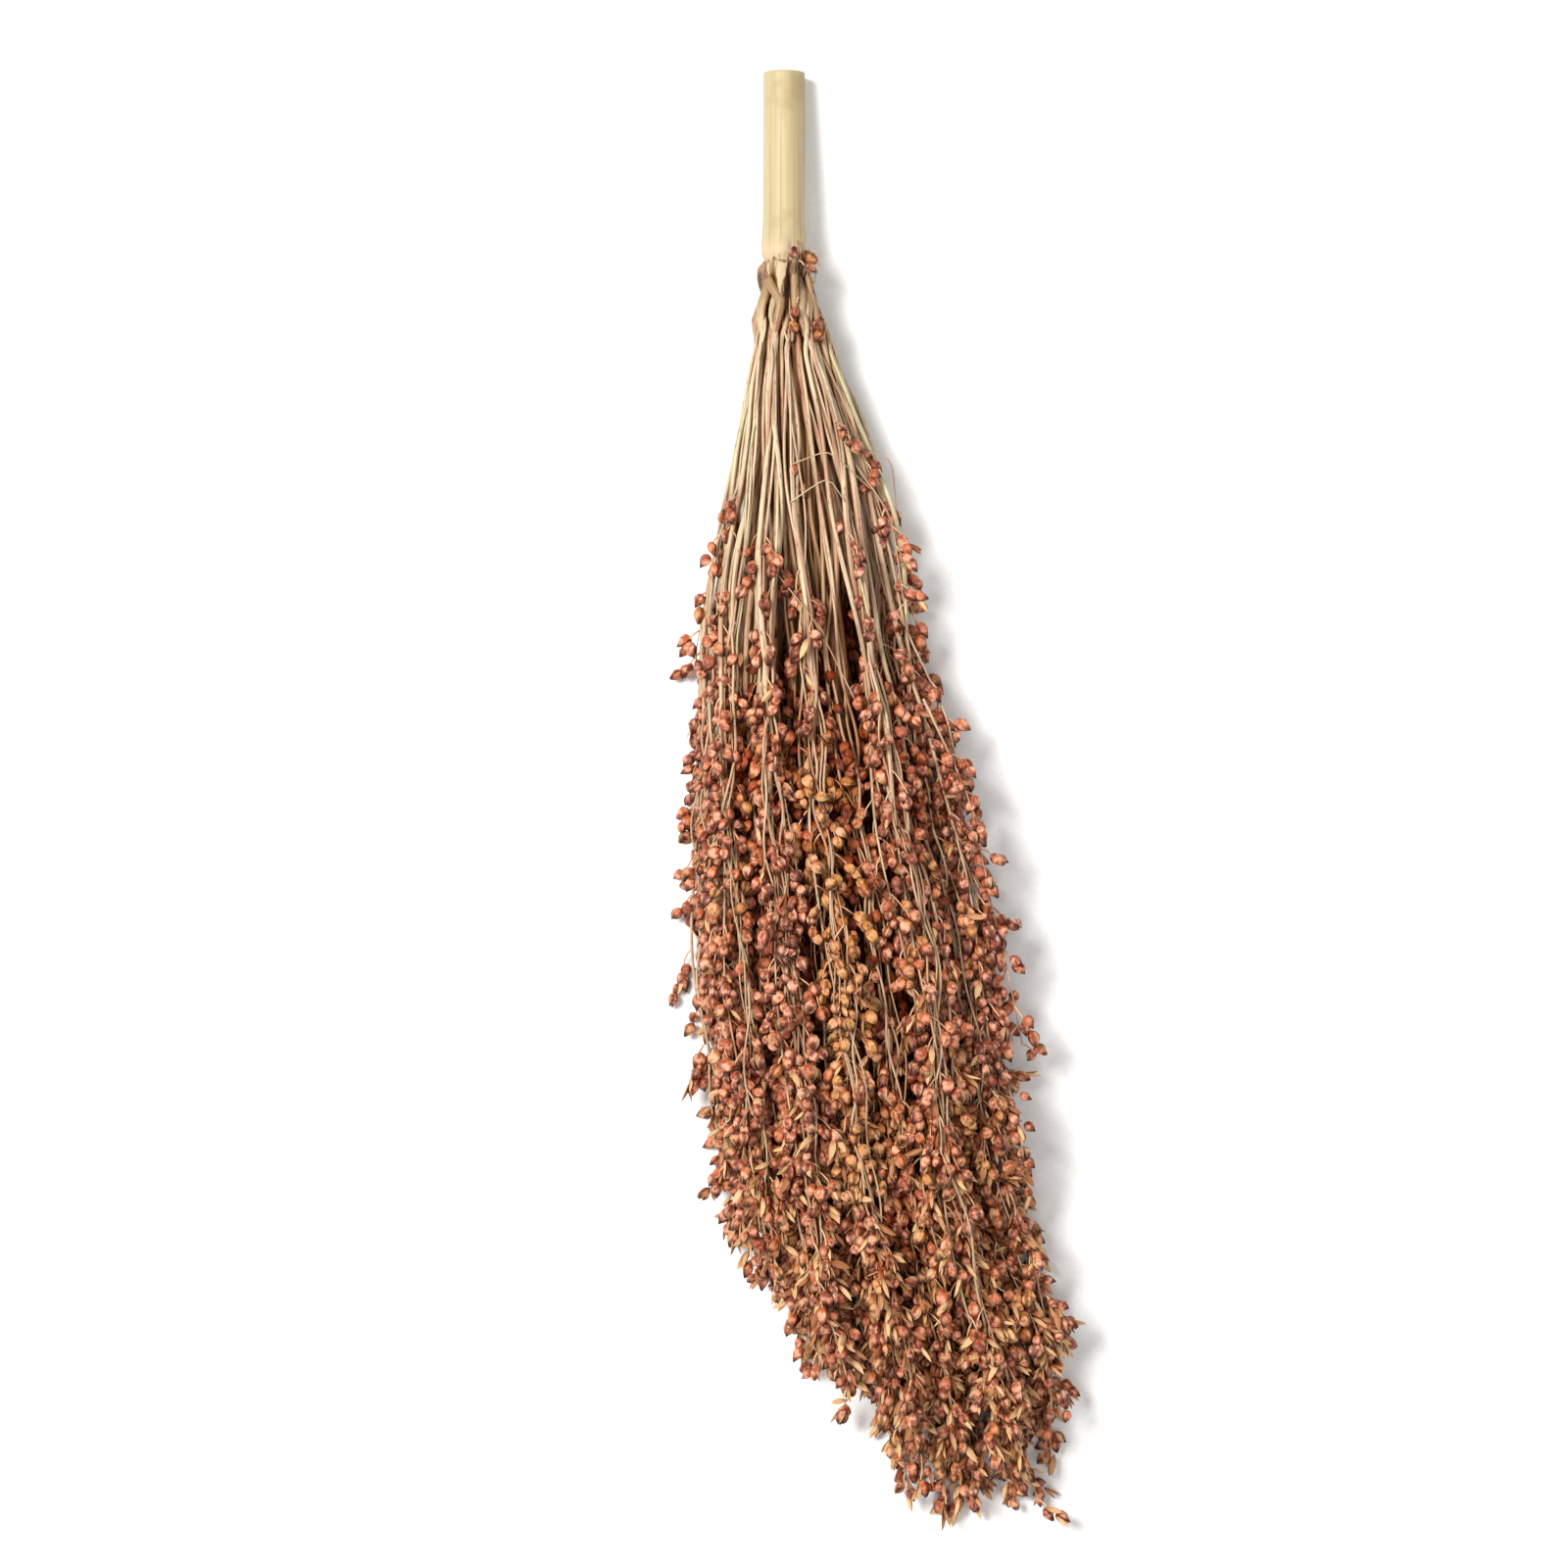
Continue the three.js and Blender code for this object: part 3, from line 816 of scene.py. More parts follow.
def seed_shapes():
    """The kinds of seed, from tightly closed to wide open."""
    grain = closed_husk(GRAIN, 6, 0.9, 0, 0)
    return (
        [closed_husk(PLUMP, SEED_SIDES, 0.86, 0.2, 0.05)],
        [closed_husk(PLUMP, SEED_SIDES, 0.8, 0.18, -0.04, 0.16)],
        [closed_husk(SLENDER, SEED_SIDES, 0.85, 0.14, 0.06)],
        [closed_husk(ROUND, SEED_SIDES, 0.8, 0.2, -0.06)],
        [closed_husk(SLENDER, SEED_SIDES, 0.95, 0.12, -0.03, 0.17)],
        [grain, open_scale(0.39, 0.37, 0.08, 0.0), open_scale(0.36, 0.33, 0.12, math.pi, 0.9)],
        [grain, open_scale(0.37, 0.35, 0.16, 0.2), open_scale(0.34, 0.31, 0.2, 2.9, 0.88)],
        [
            grain,
            open_scale(0.3, 0.28, 0.32, 0.1),
            open_scale(0.28, 0.26, 0.4, 2.7, 0.92),
            open_scale(0.14, 0.1, 0.22, 4.4, 1.12),
        ],
    )


def husk_shapes():
    """The kinds of empty husk."""
    return (
        [open_scale(0.15, 0.12, 0.06, 0.0)],
        [open_scale(0.15, 0.12, 0.12, 0.0), open_scale(0.13, 0.1, 0.1, math.pi, 0.86)],
        [open_scale(0.17, 0.12, 0.24, 0.3), open_scale(0.14, 0.1, 0.22, 3.2, 0.95)],
    )


def shape_store(name, shapes):
    """A collection of the shapes, outside the scene, for the growth tree to pick from."""
    store = bpy.data.collections.new(name)
    for index, parts in enumerate(shapes):
        label = f"{name}_{index}"
        store.objects.link(bpy.data.objects.new(label, part_mesh(label, parts)))
    return store


# Growth trees


def new_growth(name, inputs):
    """A geometry tree with named inputs, given as name, socket kind and default. Returns the tree, the way to
    add to it, its inputs and its output."""
    tree = bpy.data.node_groups.new(name, "GeometryNodeTree")
    tree.interface.new_socket("Geometry", in_out="INPUT", socket_type="NodeSocketGeometry")
    for label, kind, default in inputs:
        made = tree.interface.new_socket(label, in_out="INPUT", socket_type=f"NodeSocket{kind}")
        if default is not None:
            made.default_value = default
    tree.interface.new_socket("Geometry", in_out="OUTPUT", socket_type="NodeSocketGeometry")
    given, result = tree.nodes.new("NodeGroupInput").outputs, tree.nodes.new("NodeGroupOutput").inputs[0]
    return tree, partial(add_node, tree), given, result


def tube(tree, curve, half_width, sides):
    """A closed tube along each curve that knows how far round and how far along it each point lies."""
    add = partial(add_node, tree)
    spline = add("GeometryNodeSplineParameter").outputs
    for name, value in (("along", spline["Length"]), ("far", spline["Factor"])):
        curve = add("GeometryNodeStoreNamedAttribute", {"Geometry": curve, "Name": name, "Value": value})
    circle = add("GeometryNodeCurvePrimitiveCircle", (sides, 1.0))
    around = add("GeometryNodeSplineParameter").outputs["Factor"]
    inputs = {"Geometry": circle, "Name": "around", "Value": around}
    profile = add("GeometryNodeStoreNamedAttribute", inputs)
    return add("GeometryNodeCurveToMesh", (curve, profile, half_width, True))


def kept_above(tree, geometry, height):
    """Nothing of the geometry stays lower than height."""
    add = partial(add_node, tree)
    axes = add("ShaderNodeSeparateXYZ", (add("GeometryNodeInputPosition"),)).outputs
    raised = add("ShaderNodeMath", (axes[2], height), operation="MAXIMUM")
    place = add("ShaderNodeCombineXYZ", (axes[0], axes[1], raised))
    return add("GeometryNodeSetPosition", {"Geometry": geometry, "Position": place})


def stem_growth():
    """The tree that turns paths into ribbed, slightly uneven stems."""
    tree, add, given, result = new_growth("Straw stems", (
        ("Ring spacing", "Float", 2.5 * MM),
        ("Unevenness", "Float", 0.16),
        ("Finish", "Material", None),
    ))
    curve = add("GeometryNodeMeshToCurve", (given["Geometry"],))
    inputs = {"Curve": curve, "Length": given["Ring spacing"]}
    curve = add("GeometryNodeResampleCurve", inputs, mode="LENGTH")
    thickness = add("GeometryNodeInputNamedAttribute", ("thickness",))
    stems = tube(tree, curve, thickness, STEM_SIDES)
    # Knots and flats are about 3 mm long and 1 mm across.
    place = add("GeometryNodeInputPosition")
    stretch = add("ShaderNodeVectorMath", (place, (900, 300, 900)), operation="MULTIPLY")
    noise = add("ShaderNodeTexNoise", {"Vector": stretch, "Scale": 1.0, "Detail": 1.0})
    swing = add("ShaderNodeMapRange", {"Value": noise, "To Min": -1.0, "To Max": 1.0})
    for share in (given["Unevenness"], thickness):
        swing = add("ShaderNodeMath", (swing, share), operation="MULTIPLY")
    inputs = {0: add("GeometryNodeInputNormal"), "Scale": swing}
    offset = add("ShaderNodeVectorMath", inputs, operation="SCALE")
    stems = add("GeometryNodeSetPosition", {"Geometry": stems, "Offset": offset})
    stems = add("GeometryNodeRealizeInstances", (kept_above(tree, stems, LOWEST),))
    stems = add("GeometryNodeSetMaterial", {"Geometry": stems, "Material": given["Finish"]})
    fill(tree, result, stems)
    return tree


def spray_growth():
    """The tree that grows twigs along the stems, and seeds and empty husks along the twigs."""
    tree, add, given, result = new_growth("Seed sprays", (
        ("Twig spacing", "Float", 5 * MM),
        ("Twig length", "Float", 12 * MM),
        ("Twig width", "Float", 0.6 * MM),
        ("Seed spacing", "Float", 3 * MM),
        ("Seed length", "Float", 4.5 * MM),
        ("Husk length", "Float", 4.5 * MM),
        ("Lowest seed", "Float", 2.3 * MM),
        ("Seeds", "Collection", None),
        ("Husks", "Collection", None),
        ("Seed finish", "Material", None),
        ("Husk finish", "Material", None),
        ("Twig finish", "Material", None),
        ("Chance", "Int", 0),
    ))
    index = add("GeometryNodeInputIndex")
    tangent = add("GeometryNodeInputTangent")
    share = add("GeometryNodeSplineParameter").outputs["Factor"]

    def draw(low, high, salt):
        """A random number between low and high. salt keeps it apart from the tree's other draws."""
        seed = add("ShaderNodeMath", (given["Chance"], salt), operation="ADD")
        return add("FunctionNodeRandomValue", {2: low, 3: high, "Seed": seed})

    def turned_along(direction, roll, tilt):
        """Up +Z turned along a direction, then rolled about it and tilted to the side."""
        rotation = add("FunctionNodeAlignRotationToVector", {"Vector": direction}, axis="Z")
        for axis, angle in (((0, 0, 1), roll), ((0, 1, 0), tilt)):
            turn = add("FunctionNodeAxisAngleToRotation", (axis, angle))
            rotation = add("FunctionNodeRotateRotation", (rotation, turn), rotation_space="LOCAL")
        return rotation

    # Twigs leave the stem at a slant and then run along it, each a golden angle round from the last.
    stems = add("GeometryNodeMeshToCurve", (given["Geometry"],))
    inputs = {"Curve": stems, "Length": given["Twig spacing"]}
    stems = add("GeometryNodeResampleCurve", inputs, mode="LENGTH")
    inputs = {"Geometry": stems, "Name": "twig", "Value": index}
    stems = add("GeometryNodeStoreNamedAttribute", inputs, data_type="INT")
    full = add("GeometryNodeInputNamedAttribute", ("fullness",))
    roll = add("ShaderNodeMath", (index, GOLDEN_ANGLE), operation="MULTIPLY")
    roll = add("ShaderNodeMath", (roll, draw(-0.6, 0.6, 1)), operation="ADD")
    length = add("ShaderNodeMath", (full, given["Twig length"]), operation="MULTIPLY")
    length = add("ShaderNodeMath", (length, draw(0.6, 1.2, 2)), operation="MULTIPLY")
    shape = (TWIG_POINTS, (0, 0, 0), (0.36, 0, 0.3), (0.4, 0, 1))
    twig = add("GeometryNodeCurveQuadraticBezier", shape)
    inputs = {
        "Points": stems, "Instance": twig,
        "Selection": add("FunctionNodeCompare", (full, LEAST_FULL), operation="GREATER_THAN"),
        "Scale": add("ShaderNodeCombineXYZ", (length, length, length)),
        "Rotation": turned_along(tangent, roll, draw(-0.12, 0.3, 3)),
    }
    twigs = add("GeometryNodeRealizeInstances", (add("GeometryNodeInstanceOnPoints", inputs),))
    inputs = {"Vector": add("GeometryNodeInputPosition"), "Scale": 110.0, "Detail": 1.0}
    noise = add("ShaderNodeTexNoise", inputs).outputs["Color"]
    centred = add("ShaderNodeVectorMath", (noise, (0.5, 0.5, 0.5)), operation="SUBTRACT")
    reach = add("ShaderNodeMath", (share, full), operation="MULTIPLY")
    reach = add("ShaderNodeMath", (reach, TWIG_BEND), operation="MULTIPLY")
    offset = add("ShaderNodeVectorMath", {0: centred, "Scale": reach}, operation="SCALE")
    twigs = add("GeometryNodeSetPosition", {"Geometry": twigs, "Offset": offset})
    twigs = kept_above(tree, twigs, given["Lowest seed"])
    slimming = add("ShaderNodeMapRange", {"Value": share, "To Min": 0.5, "To Max": 0.38})
    half = add("ShaderNodeMath", (given["Twig width"], slimming), operation="MULTIPLY")
    cell = add("GeometryNodeInputNamedAttribute", ("twig",), data_type="INT")
    cell = add("ShaderNodeMath", (cell, 4.0), operation="MULTIPLY")
    inputs = {"Geometry": tube(tree, twigs, half, 4), "Name": "cell", "Value": cell}
    bristles = add("GeometryNodeStoreNamedAttribute", inputs, data_type="INT")

    def carried(store, kinds, length, first, tilt, aside, cell, salt, selection):
        """A store's shapes along the twigs, tips outwards, with a tint and a place on the bake map each."""
        inputs = {"Curve": twigs, "Length": given["Seed spacing"]}
        points = add("GeometryNodeResampleCurve", inputs, mode="LENGTH")
        inputs = {"Geometry": points, "Name": "tint", "Value": draw(0, 1, salt)}
        points = add("GeometryNodeStoreNamedAttribute", inputs)
        number = add("ShaderNodeMath", (index, 4.0, cell), operation="MULTIPLY_ADD")
        inputs = {"Geometry": points, "Name": "cell", "Value": number}
        points = add("GeometryNodeStoreNamedAttribute", inputs, data_type="INT")
        kind = add("ShaderNodeMath", (kinds, draw(0, 0.999, salt + 1)), operation="MULTIPLY")
        seed = add("ShaderNodeMath", (given["Chance"], salt + 5), operation="ADD")
        inputs = {0: (-aside,) * 3, 1: (aside,) * 3, "Seed": seed}
        nudge = add("FunctionNodeRandomValue", inputs, data_type="FLOAT_VECTOR")
        points = add("GeometryNodeSetPosition", {"Geometry": points, "Offset": nudge})
        size = add("ShaderNodeMath", (length, draw(0.8, 1.15, salt + 2)), operation="MULTIPLY")
        beyond = add("FunctionNodeCompare", (share, first), operation="GREATER_THAN")
        down = add("ShaderNodeVectorMath", (tangent, (0, -0.35, 0)), operation="ADD")
        shapes = {"Collection": store, "Separate Children": True, "Reset Children": True}
        inputs = {
            "Points": points, "Instance": add("GeometryNodeCollectionInfo", shapes),
            "Selection": add("ShaderNodeMath", (beyond, selection), operation="MULTIPLY"),
            "Pick Instance": True,
            "Instance Index": add("ShaderNodeMath", (kind,), operation="FLOOR"),
            "Rotation": turned_along(down, draw(0, math.tau, salt + 4), draw(0.05, tilt, salt + 3)),
            "Scale": add("ShaderNodeCombineXYZ", (size, size, size)),
        }
        return add("GeometryNodeRealizeInstances", (add("GeometryNodeInstanceOnPoints", inputs),))

    # Deep inside, some seeds never set. The more chaff a spray sheds, the more of its seeds have opened.
    sunned = add("GeometryNodeInputNamedAttribute", ("sunned",))
    room = add("ShaderNodeMapRange", {"Value": sunned, "To Min": SEEDS_SET_INSIDE, "To Max": 1.0})
    grown_seed = add("FunctionNodeCompare", (draw(0, 1, 41), room), operation="LESS_THAN")
    chaff = add("GeometryNodeInputNamedAttribute", ("chaff",))
    grown_husk = add("FunctionNodeCompare", (draw(0, 1, 40), chaff), operation="LESS_THAN")
    kinds = add("ShaderNodeMapRange", {"Value": chaff, "To Min": 6.0, "To Max": 8.0})
    seeds = carried(given["Seeds"], kinds, given["Seed length"], 0.3, 0.85, 1.1 * MM, 1.0, 10, grown_seed)
    husks = carried(given["Husks"], 3.0, given["Husk length"], 0.25, 0.8, 1.6 * MM, 2.0, 20, grown_husk)
    joined = tree.nodes.new("GeometryNodeJoinGeometry")
    for geometry, finish in ((husks, "Husk finish"), (seeds, "Seed finish"), (bristles, "Twig finish")):
        finished = add("GeometryNodeSetMaterial", {"Geometry": geometry, "Material": given[finish]})
        fill(tree, joined.inputs[0], finished)
    fill(tree, result, kept_above(tree, joined, LOWEST))
    return tree


def grown(name, paths, tree, values):
    """Runs a growth tree on a mesh of paths, and returns what grew as a plain mesh at the origin."""
    holder = bpy.data.objects.new(f"{name}_paths", paths)
    bpy.context.scene.collection.objects.link(holder)
    growth = holder.modifiers.new("Growth", "NODES")
    growth.node_group = tree
    for item in tree.interface.items_tree:
        if item.in_out == "INPUT" and item.name in values:
            growth[item.identifier] = values[item.name]
    depsgraph = bpy.context.evaluated_depsgraph_get()
    mesh = bpy.data.meshes.new_from_object(holder.evaluated_get(depsgraph), depsgraph=depsgraph)
    mesh.name = name
    bpy.data.objects.remove(holder)
    bpy.data.meshes.remove(paths)
    piece = bpy.data.objects.new(name, mesh)
    bpy.context.scene.collection.objects.link(piece)
    return piece


# Maps on the finished meshes


def corner_values(mesh, name):
    """A point attribute's value at each face corner."""
    values = np.empty(len(mesh.vertices), np.float32)
    data = mesh.attributes[name].data
    data.foreach_get("value", values)
    corners = np.empty(len(mesh.loops), np.int32)
    mesh.loops.foreach_get("vertex_index", corners)
    return values[corners]


def write_map(mesh, name, places):
    """Stores a place on a map for each face corner."""
    layer = mesh.attributes.new(name, "FLOAT2", "CORNER")
    layer.data.foreach_set("vector", places.astype(np.float32).ravel())


MAP_MARGIN = 0.05  # the share of its square that a part leaves free at each edge
POLE = 9  # more than any point lies round


def lay_out_maps(mesh, cell_name, stretch=None):
    """Writes the skin map, how far round and along each corner lies, and the bake map, where each seed, husk
    and twig, or each stretch of a stem, has a square of its own."""
    first = np.empty(len(mesh.polygons), np.int32)
    count = np.empty(len(mesh.polygons), np.int32)
    mesh.polygons.foreach_get("loop_start", first)
    mesh.polygons.foreach_get("loop_total", count)
    face = np.repeat(np.arange(len(first)), count)
    around, along = corner_values(mesh, "around"), corner_values(mesh, "along")
    cell = corner_values(mesh, cell_name)
    if "part" in mesh.attributes:  # the scales of one husk lie apart
        cell = 4 * cell + corner_values(mesh, "part")
    pole = around < 0
    low = np.minimum.reduceat(np.where(pole, POLE, around), first)[face]
    high = np.maximum.reduceat(around, first)[face]
    wraps = (high - low > 0.5) & (around < 0.5) & ~pole & (count[face] <= 4)
    around = around + wraps
    known = np.add.reduceat(np.where(pole, 0, around), first)
    around = np.where(pole, (known / np.maximum(np.add.reduceat(~pole, first), 1))[face], around)
    write_map(mesh, "skin", np.stack([around, along], 1))
    if stretch:
        part = np.floor(np.minimum.reduceat(along, first)[face] / stretch + 0.01)
        cell, along = cell * 1000 + part, along / stretch - part
    else:
        longest = np.zeros(int(cell.max()) + 1)
        np.maximum.at(longest, cell.astype(int), along)
        along = along / np.maximum(longest[cell.astype(int)], 1e-9)
    # A tube's end cap is laid out round, and apart from its side.
    cap = count[face] > 4
    turn = math.tau * around
    around = np.where(cap, 0.5 + 0.5 * np.cos(turn), around / 1.25)
    along = np.where(cap, 0.5 + 0.5 * np.sin(turn), along)
    own = np.unique(cell + 0.5 * cap, return_inverse=True)[1]
    columns = math.ceil(math.sqrt(own.max() + 1))
    squares = np.stack([own % columns, own // columns], 1)
    within = MAP_MARGIN + (1 - 2 * MAP_MARGIN) * np.stack([around, along], 1)
    write_map(mesh, "OFBake", (squares + within) / columns)
    for name in ("around", "along", "part", cell_name, "twig", "string", "thickness", "fullness", "chaff"):
        if name in mesh.attributes:
            mesh.attributes.remove(mesh.attributes[name])


def settle(piece, node_name):
    """Joins a finished piece to the frame in place of its CAD node."""
    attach(piece, "root")
    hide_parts(node_name)


# Operators


class SEEDHEAD_OT_stalk(bpy.types.Operator):
    """Make the cut stalk, with its ribbed skin, pith and knuckled collar"""

    bl_idname = "seedhead.stalk"
    bl_label = "Stalk"

    SIDES = 96
    CORE = 22 * MM  # how far the stalk's core runs on among the stems
    KNUCKLES = 5
    RIBS = (  # angle and half width in degrees, and how far up and down from the collar, in millimetres
        (97, 24, 7, 13),
        (60, 14, 3, 5),
        (135, 13, 2, 6),
        (205, 16, 5, 8),
        (320, 14, 4, 6),
    )
    RIB_RISE = 0.6 * MM

    def outline(self):
        """Rows of y, axis height, half width, and whether the row is on the cut face."""
        rows = np.array(sections_of("stalk"))
        cad = rows[rows[:, 3] > 1 * MM]
        axis = np.polyfit(cad[:, 1], cad[:, 2], 1)
        rim, radius = STALK_HIGH.y, cad[1, 3]
        shares = (0.25, 0.5, 0.75, 0.9, 1)
        cut = [(rim - 0.35 * MM * (1 - share**2), radius * share * 0.94, 1) for share in shares]
        skin = [(rim - 0.1 * MM, radius * 0.975, 0), (rim - 0.5 * MM, radius, 0)]
        for y in np.linspace(rim - 1.5 * MM, COLLAR_Y - self.CORE, 64):
            swell = 0.4 * MM * math.exp(-(((y - COLLAR_Y - 6 * MM) / (5 * MM)) ** 2))
            narrow = 2.8 * MM * float(smooth(COLLAR_Y + 3 * MM, COLLAR_Y - 3.5 * MM, y))
            taper = 1 - 0.7 * float(smooth(COLLAR_Y - 8 * MM, COLLAR_Y - self.CORE, y))
            skin.append((y, (radius + swell - narrow) * taper, 0))
        return [(y, np.polyval(axis, y), half, cut_face) for y, half, cut_face in cut + skin]

    def rib(self, angle, up):
        """1 on a rib, 0 off it. The ribs narrow to a point as they run down from the collar."""
        shares = []
        for middle, half_angle, reach_up, reach_down in self.RIBS:
            along = max(up / reach_up, 0) + max(-up / reach_down, 0)
            aside = abs(angle - middle) / half_angle * (1 + 1.5 * max(-up / reach_down, 0))
            shares.append(smooth(1.1, 0.75, math.hypot(aside, along**3)))
        return float(max(shares))

    def execute(self, context):
        rows = self.outline()
        widest = max(row[2] for row in rows)
        points, marks, length, before = [], [], 0.0, None
        for y, middle, half, cut_face in rows:
            length += 0 if before is None else math.dist(before, (y, half))
            before = (y, half)
            at_collar = float(smooth(COLLAR_Y + 14 * MM, COLLAR_Y + 1 * MM, y))
            # Beyond the collar the core is painted near-black as the shadow among the stems, except on the
            # ribs
            beyond = float(smooth(COLLAR_Y + 0.5 * MM, COLLAR_Y - 4 * MM, y))
            for index in range(self.SIDES):
                angle = math.tau * index / self.SIDES
                wave = 0.12 * MM * math.sin(2 * angle + 1) + 0.07 * MM * math.sin(5 * angle + 60 * y)
                knuckle = math.sin(self.KNUCKLES / 2 * angle + 40 * (y - COLLAR_Y) + 0.4) ** 2
                swell = at_collar * MM * (0.7 * knuckle - 0.35)
                rib = self.rib(math.degrees(angle), (y - COLLAR_Y) / MM)
                swell += rib * (self.RIB_RISE + (widest - half) * (y < COLLAR_Y))
                reach = half + (0 if cut_face else wave * min(half / (4 * MM), 1)) + swell
                reach = max(reach, 0.3 * MM)
                points.append((COLLAR_X + reach * math.cos(angle), y, middle + reach * math.sin(angle)))
                across = half / (6.6 * MM) if cut_face else 1.0
                marks.append((index / self.SIDES, length, at_collar, beyond * (1 - rib), across))
        ends = [rows[0], rows[-1]]
        points += [(COLLAR_X, y, middle) for y, middle, half, cut_face in ends]
        marks += [(-1, 0, 0, 0, 0), (-1, length + half, 1, 1, 1)]
        faces = skin_faces(len(rows), self.SIDES, 0, len(points) - 2, len(points) - 1, turned=True)
        mesh = bpy.data.meshes.new("stalk_cane")
        mesh.from_pydata([(x, y, max(z, 0.02 * MM)) for x, y, z in points], [], faces)
        for name, values in zip(("around", "along", "collar", "core_shadow", "across"), zip(*marks)):
            mesh.attributes.new(name, "FLOAT", "POINT").data.foreach_set("value", values)
        string = mesh.attributes.new("string", "FLOAT", "POINT")
        string.data.foreach_set("value", np.zeros(len(points), np.float32))
        mesh.shade_smooth()
        colours = context.scene.seedhead_colours
        mesh.materials.append(dry_cane(colours))
        mesh.materials.append(cut_pith(colours))
        cut_rings = sum(row[3] for row in rows)
        for polygon in mesh.polygons:
            on_cut = all(v < cut_rings * self.SIDES or v == len(points) - 2 for v in polygon.vertices)
            polygon.material_index = int(on_cut)
        mesh.set_sharp_from_angle(angle=math.radians(40))
        lay_out_maps(mesh, "string")
        piece = bpy.data.objects.new("stalk_cane", mesh)
        context.scene.collection.objects.link(piece)
        settle(piece, "stalk")
        return {"FINISHED"}


class SEEDHEAD_OT_branches(bpy.types.Operator):
    """Make each branch's stems, from their roots in the collar to their tips among the seeds"""

    bl_idname = "seedhead.branches"
    bl_label = "Branches"

    def execute(self, context):
        stems = bundle(context.scene.seedhead_sizes)
        tree = stem_growth()
        finish = dry_straw(context.scene.seedhead_colours)
        for number in range(1, LANES + 1):
            own = [stem for stem in stems if stem.lane.number == number]
            name = f"branch_{number:02d}_stems"
            piece = grown(name, path_mesh(name, own), tree, {"Finish": finish})
            piece.data.shade_smooth()
            points = np.empty(3 * len(piece.data.vertices), np.float32)
            piece.data.vertices.foreach_get("co", points)
            distance = COLLAR_Y - points[1::3]
            rooted = piece.data.attributes.new("rooted", "FLOAT", "POINT")
            rooted.data.foreach_set("value", smooth(30 * MM, 4 * MM, distance).astype(np.float32))
            lay_out_maps(piece.data, "string", 40 * MM)
            settle(piece, f"branch_{number:02d}")
        return {"FINISHED"}


class SEEDHEAD_OT_seed_sprays(bpy.types.Operator):
    """Grow the twigs, seeds and empty husks of each branch"""

    bl_idname = "seedhead.seed_sprays"
    bl_label = "Seed sprays"

    def execute(self, context):
        sizes, colours = context.scene.seedhead_sizes, context.scene.seedhead_colours
        stems = bundle(sizes)
        tree = spray_growth()
        # The tree's inputs for sizes are named as the sizes are.
        named = {name.replace("_", " ").capitalize(): getattr(sizes, name) for name in SIZE_NAMES}
        values = named | {
            "Seeds": shape_store("seed_shape", seed_shapes()),
            "Husks": shape_store("husk_shape", husk_shapes()),
            "Seed finish": seed_glume(colours),
            "Husk finish": empty_husk(colours),
            "Twig finish": fine_twig(),
        }
        for number in range(1, LANES + 1):
            own = [stem for stem in stems if stem.lane.number == number]
            name = f"seed_spray_{number:02d}_seeds"
            piece = grown(name, path_mesh(name, own), tree, values | {"Chance": 100 * number})
            lay_out_maps(piece.data, "cell")
            settle(piece, f"seed_spray_{number:02d}")
        return {"FINISHED"}


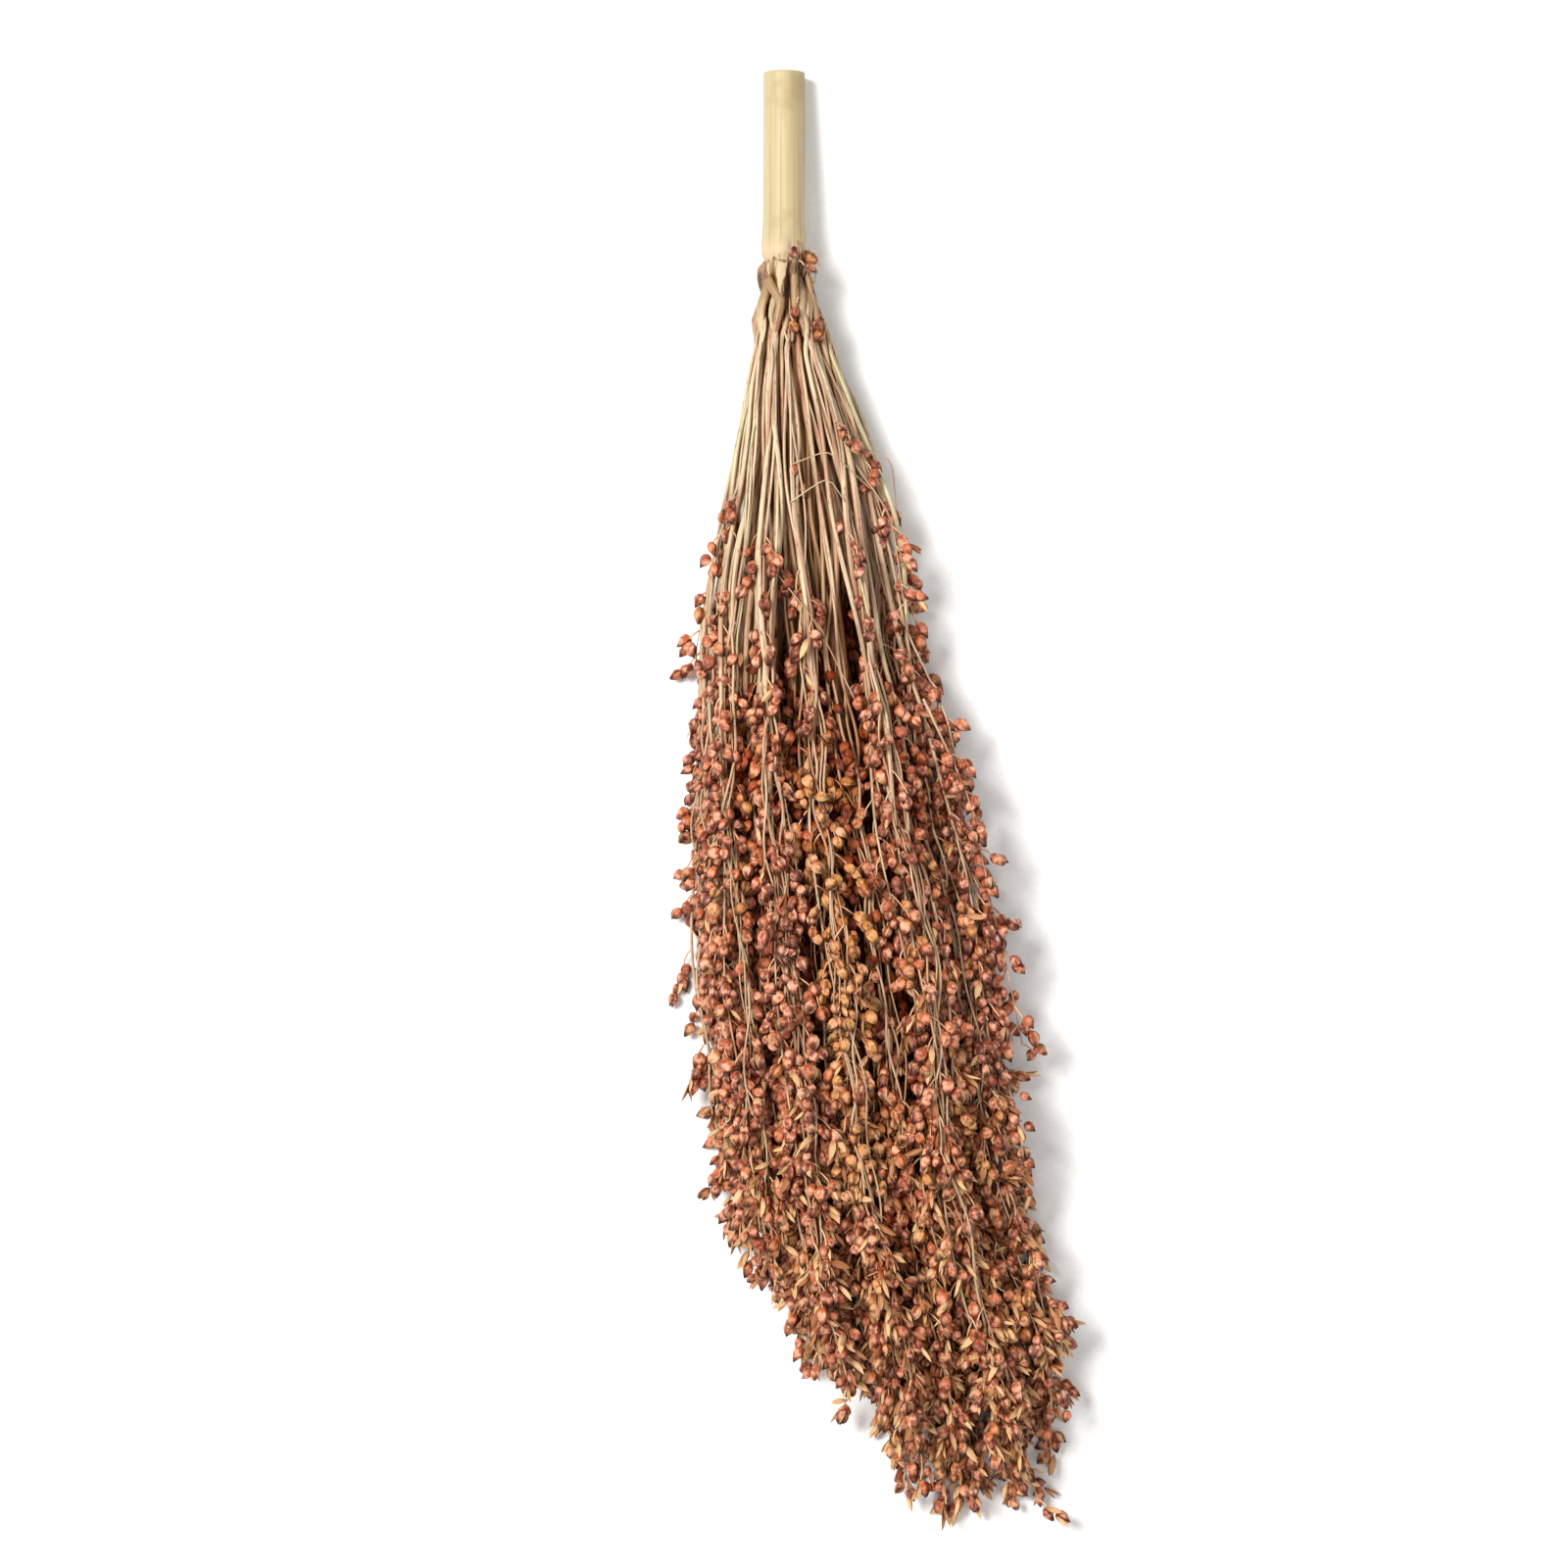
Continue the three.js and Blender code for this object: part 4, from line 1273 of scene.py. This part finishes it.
class SEEDHEAD_OT_stage(bpy.types.Operator):
    """Set out the paper, the soft lights and the camera that looks straight down"""

    bl_idname = "seedhead.stage"
    bl_label = "Stage"

    PAPER = 6.0  # metres across
    FRAME = 0.497  # metres of paper that the camera sees, up and across
    LENS = 100  # millimetres
    LIGHTS = (  # name, place, size across and power
        ("key softbox", (-1.1, 0.6, 2.0), 0.85, 70),
        ("overhead softbox", (0.4, -0.3, 2.0), 1.6, 14),
    )

    def execute(self, context):
        scene = context.scene
        bpy.ops.mesh.primitive_plane_add(size=self.PAPER)
        paper = context.object
        paper.name = "paper"
        paper.data.materials.append(backdrop_paper())
        middle = (Vector(CAD_BOX[0]) + Vector(CAD_BOX[1])) / 2
        for name, place, size, power in self.LIGHTS:
            light = bpy.data.lights.new(name, "AREA")
            light.size, light.energy = size, power
            lamp = bpy.data.objects.new(name, light)
            lamp.location = place
            lamp.rotation_euler = (middle - Vector(place)).to_track_quat("-Z", "Y").to_euler()
            scene.collection.objects.link(lamp)
        world = bpy.data.worlds.new("soft studio")
        world.use_nodes = True
        world.node_tree.nodes["Background"].inputs["Color"].default_value = (1, 1, 1, 1)
        world.node_tree.nodes["Background"].inputs["Strength"].default_value = 0.3
        scene.world = world
        scene.view_settings.view_transform = "Standard"
        camera = bpy.data.objects.new("camera", bpy.data.cameras.new("camera"))
        camera.data.lens = self.LENS
        camera.data.clip_end = 20
        height = self.FRAME * self.LENS / camera.data.sensor_width
        # The collar stands in the middle from side to side.
        camera.location = (COLLAR_X, middle.y, height + middle.z)
        scene.collection.objects.link(camera)
        scene.camera = camera
        return {"FINISHED"}


class SEEDHEAD_PT_panel(bpy.types.Panel):
    """Lists the head's pieces in the order in which they are made"""

    bl_idname = "SEEDHEAD_PT_panel"
    bl_label = "Sorghum Seed Head"
    bl_space_type = "VIEW_3D"
    bl_region_type = "UI"
    bl_category = "Seed Head"

    def draw(self, context):
        for group in (context.scene.seedhead_sizes, context.scene.seedhead_colours):
            box = self.layout.box()
            for name in group.__annotations__:
                box.prop(group, name)
        for step in STEPS:
            self.layout.operator(step.bl_idname)


STEPS = (SEEDHEAD_OT_stalk, SEEDHEAD_OT_branches, SEEDHEAD_OT_seed_sprays, SEEDHEAD_OT_stage)
CLASSES = (SeedHeadSizes, SeedHeadColours, *STEPS, SEEDHEAD_PT_panel)


def register():
    for one in CLASSES:
        bpy.utils.register_class(one)
    bpy.types.Scene.seedhead_sizes = PointerProperty(type=SeedHeadSizes)
    bpy.types.Scene.seedhead_colours = PointerProperty(type=SeedHeadColours)


def unregister():
    del bpy.types.Scene.seedhead_sizes
    del bpy.types.Scene.seedhead_colours
    for one in reversed(CLASSES):
        bpy.utils.unregister_class(one)


def main():
    register()
    bpy.ops.seedhead.stalk()
    bpy.ops.seedhead.branches()
    bpy.ops.seedhead.seed_sprays()
    bpy.ops.seedhead.stage()
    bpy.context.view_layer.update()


if __name__ == "__main__":
    main()
